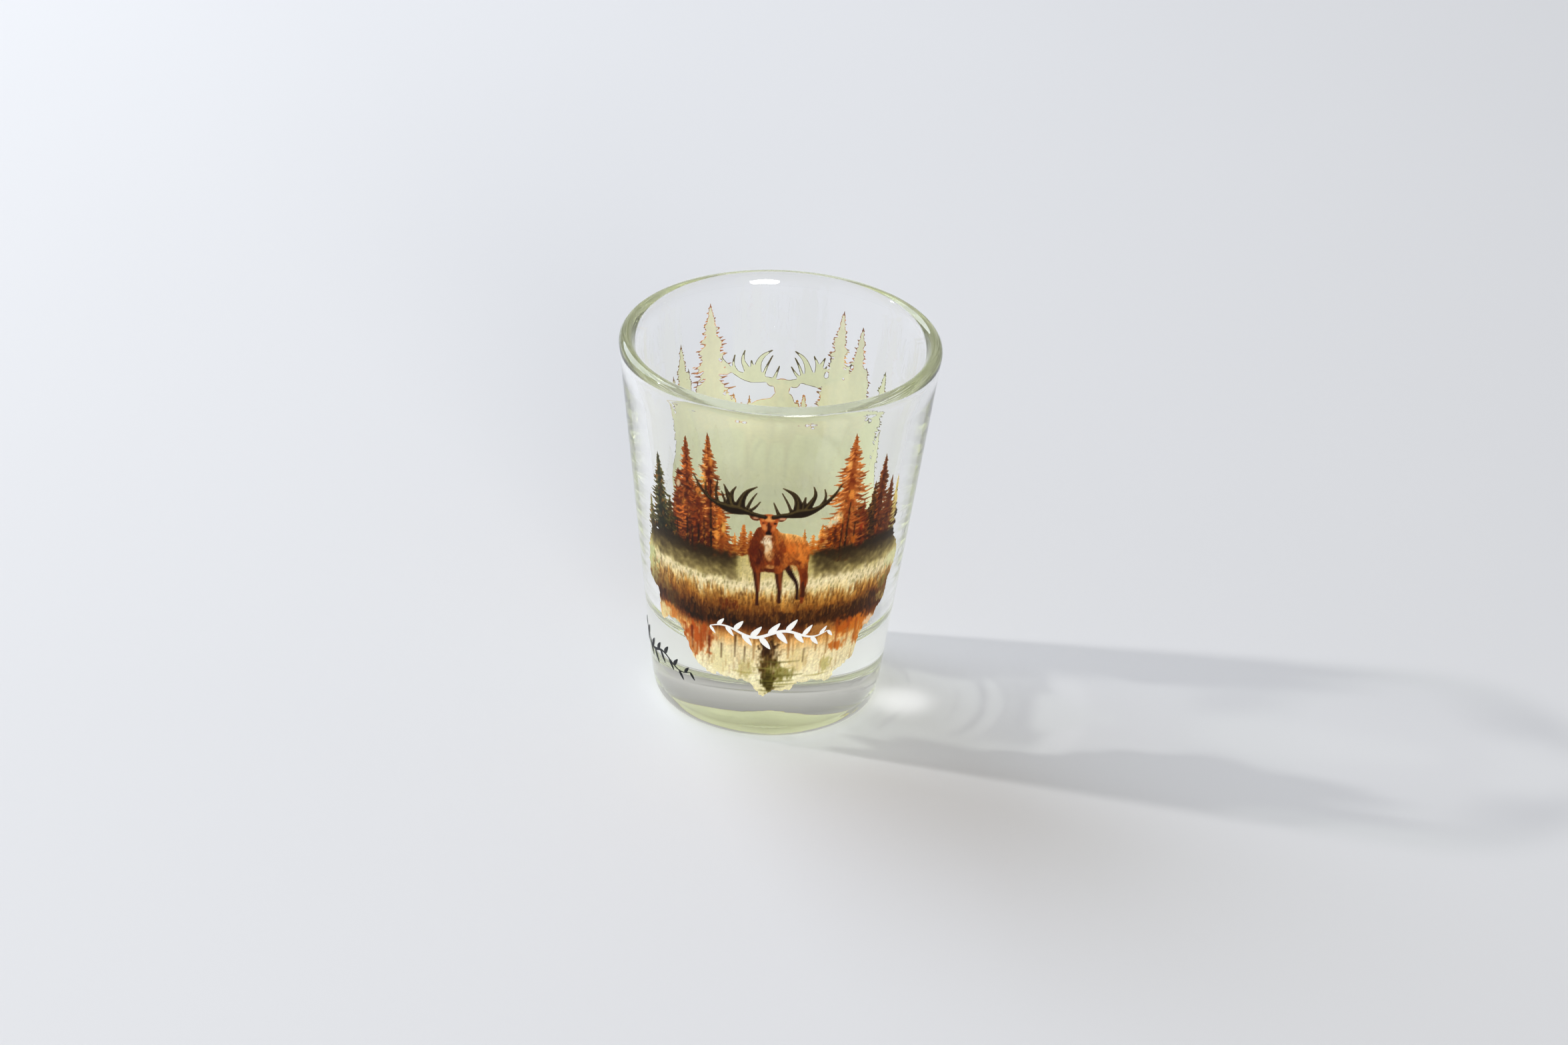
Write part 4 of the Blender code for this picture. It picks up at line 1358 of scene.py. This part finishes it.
class OBJECT_OT_shot_glass_sprigs(GlassStep, bpy.types.Operator):
    """Prints the white sprigs over the scenes and the black one on the side"""

    bl_idname = "object.shot_glass_sprigs"
    bl_label = "Sprigs"

    def execute(self, context):
        settings, inks = context.scene.shot_glass, context.scene.shot_glass_inks
        white = ink_material("white_sprig_ink", inks.white_ink, SPRIG_GRAIN)
        black = ink_material("black_sprig_ink", inks.black_ink, SPRIG_GRAIN)
        flare = settings.rim_radius - settings.foot_radius
        shared = {
            "Foot Radius": settings.foot_radius, "Mean Radius": MEAN_RADIUS_MM * MM,
            "Flare": flare / (settings.height - settings.lip_radius), "Leaf Length": inks.leaf_length,
        }  # fmt: skip
        tree = sprig_tree()
        line = (inks.white_span, inks.white_height, *WHITE_SPRIG, "white_ink", white)
        for name, turn, span, height, leaves, waves, slot, material in (
            ("front_white_sprig", 0.0, *line),
            ("rear_white_sprig", math.pi, *line),
            ("side_black_sprig", 0.0, inks.black_span, inks.black_height, *BLACK_SPRIG, "black_ink",
             black),
        ):  # fmt: skip
            values = {
                "First Azimuth": span[0] + turn, "Last Azimuth": span[1] + turn,
                "Middle Height": height, "Leaf Count": leaves, "Waves": waves, **shared,
            }  # fmt: skip
            source = bpy.data.meshes.new(name)
            made = finished(f"{name}_ink", tree, source, values, material)
            face_outwards(made.data)
            self.carry(made, name, slot)
        return {"FINISHED"}


class OBJECT_OT_shot_glass_stage(GlassStep, bpy.types.Operator):
    """Sets up the floor, the lights and the camera"""

    bl_idname = "object.shot_glass_stage"
    bl_label = "Stage"

    def execute(self, context):
        stage = context.scene.shot_glass_stage
        make_floor(stage)
        make_lights(stage)
        make_camera(stage)
        context.scene.view_settings.view_transform = "Standard"
        paths = context.scene.cycles
        paths.max_bounces = GLASS_BOUNCES
        paths.transmission_bounces = GLASS_BOUNCES
        paths.glossy_bounces = GLASS_BOUNCES
        paths.diffuse_bounces = PLAIN_BOUNCES
        paths.blur_glossy = 0.0
        return {"FINISHED"}


def make_floor(stage):
    mesh = bpy.data.meshes.new("floor")
    signs = ((-1, -1), (1, -1), (1, 1), (-1, 1))
    mesh.from_pydata([(x * FLOOR_REACH, y * FLOOR_REACH, 0) for x, y in signs], [], [range(4)])
    mesh.materials.append(floor_material(stage))
    floor = placed("floor", mesh)
    floor.location.z = CAD_LOW.z - FLOOR_GAP
    floor.cycles.is_caustics_receiver = True


def make_lamp(name, position, target, size, power, colour, caustics=False):
    """A round area light aimed from its position at the target."""
    lamp = bpy.data.lights.new(name, "AREA")
    lamp.shape = "DISK"
    lamp.size = size
    lamp.energy = power
    lamp.color = colour
    lamp.cycles.is_caustics_light = caustics
    return place_lamp(lamp, position, target)


def place_lamp(lamp, position, target):
    made = placed(lamp.name, lamp)
    made.location = position
    made.rotation_euler = (Vector(target) - Vector(position)).to_track_quat("-Z", "Y").to_euler()
    return made


def make_lights(stage):
    middle = Vector((0.0, 0.0, CAD_HIGH.z / 2))
    rise = math.radians(KEY_ELEVATION)
    toward = Vector((*[side * math.cos(rise) for side in KEY_HEADING], math.sin(rise)))
    key_place = middle + toward * KEY_DISTANCE
    make_lamp("key", key_place, middle, KEY_SIZE, stage.key_power, KEY_COLOUR, caustics=True)
    for name, position, size, power, colour in SOFT_LAMPS:
        lamp = make_lamp(name, position, middle, size, power, colour)
        lamp.visible_transmission = False
    glint = bpy.data.lights.new("base_glint", "SPOT")
    glint.energy = GLINT_POWER
    glint.spot_size = math.radians(GLINT_CONE)
    glint.spot_blend = 1.0
    glint.shadow_soft_size = GLINT_SIZE
    place_lamp(glint, GLINT_PLACE, GLINT_TARGET)
    world = bpy.data.worlds.new("soft_studio")
    world.use_nodes = True
    tree = world.node_tree
    toward = add_node(tree, "ShaderNodeTexCoord").outputs["Generated"]
    split = add_node(tree, "ShaderNodeSeparateXYZ", {0: toward})
    ramp = add_node(tree, "ShaderNodeValToRGB", {"Fac": split.outputs["Z"]})
    ramp.color_ramp.elements.new(SKY_STOPS[1][0])
    for stop, (height, colour) in zip(ramp.color_ramp.elements, SKY_STOPS):
        stop.position, stop.color = height, (*colour, 1.0)
    sky = tree.nodes["Background"]
    tree.links.new(ramp.outputs[0], sky.inputs["Color"])
    sky.inputs["Strength"].default_value = stage.sky_strength
    bpy.context.scene.world = world


def make_camera(stage):
    rise, distance, roll = stage.camera_elevation, stage.camera_distance, stage.camera_roll
    place = Vector(
        (0.0, -distance * math.cos(rise), CAMERA_PIVOT_HEIGHT + distance * math.sin(rise))
    )
    ahead = (Vector(AIM) - place).normalized()
    right = ahead.cross(Vector((0, 0, 1))).normalized()
    up = right.cross(ahead)
    rolled_right = right * math.cos(roll) + up * math.sin(roll)
    rolled_up = up * math.cos(roll) - right * math.sin(roll)
    data = bpy.data.cameras.new("camera")
    data.lens = stage.lens
    data.sensor_width = FILM_WIDTH_MM
    data.clip_start, data.clip_end = NEAREST, FARTHEST
    camera = placed("camera", data)
    axes = Matrix((rolled_right, rolled_up, -ahead)).transposed()
    camera.matrix_world = Matrix.Translation(place) @ axes.to_4x4()
    bpy.context.scene.camera = camera


class VIEW3D_PT_shot_glass(bpy.types.Panel):
    """Lists the building steps and their settings"""

    bl_label = "Printed Shot Glass"
    bl_idname = "VIEW3D_PT_shot_glass"
    bl_space_type = "VIEW_3D"
    bl_region_type = "UI"
    bl_category = "Shot Glass"

    def draw(self, context):
        for group in ("shot_glass", "shot_glass_inks", "shot_glass_stage"):
            box = self.layout.box()
            settings = getattr(context.scene, group)
            for name in settings.__annotations__:
                box.prop(settings, name)
        for step in STEPS:
            self.layout.operator(step.bl_idname)


STEPS = (
    OBJECT_OT_shot_glass_stage,
    OBJECT_OT_shot_glass_body,
    OBJECT_OT_shot_glass_prints,
    OBJECT_OT_shot_glass_sprigs,
)
SETTINGS = {
    "shot_glass": GlassSettings,
    "shot_glass_inks": PrintSettings,
    "shot_glass_stage": StageSettings,
}


def register():
    for kind in (*SETTINGS.values(), *STEPS, VIEW3D_PT_shot_glass):
        bpy.utils.register_class(kind)
    for name, kind in SETTINGS.items():
        setattr(bpy.types.Scene, name, PointerProperty(type=kind))


def unregister():
    for name in SETTINGS:
        delattr(bpy.types.Scene, name)
    for kind in reversed((*SETTINGS.values(), *STEPS, VIEW3D_PT_shot_glass)):
        bpy.utils.unregister_class(kind)


def main():
    register()
    bpy.ops.object.shot_glass_stage()
    bpy.ops.object.shot_glass_body()
    bpy.ops.object.shot_glass_prints()
    bpy.ops.object.shot_glass_sprigs()


if __name__ == "__main__":
    main()
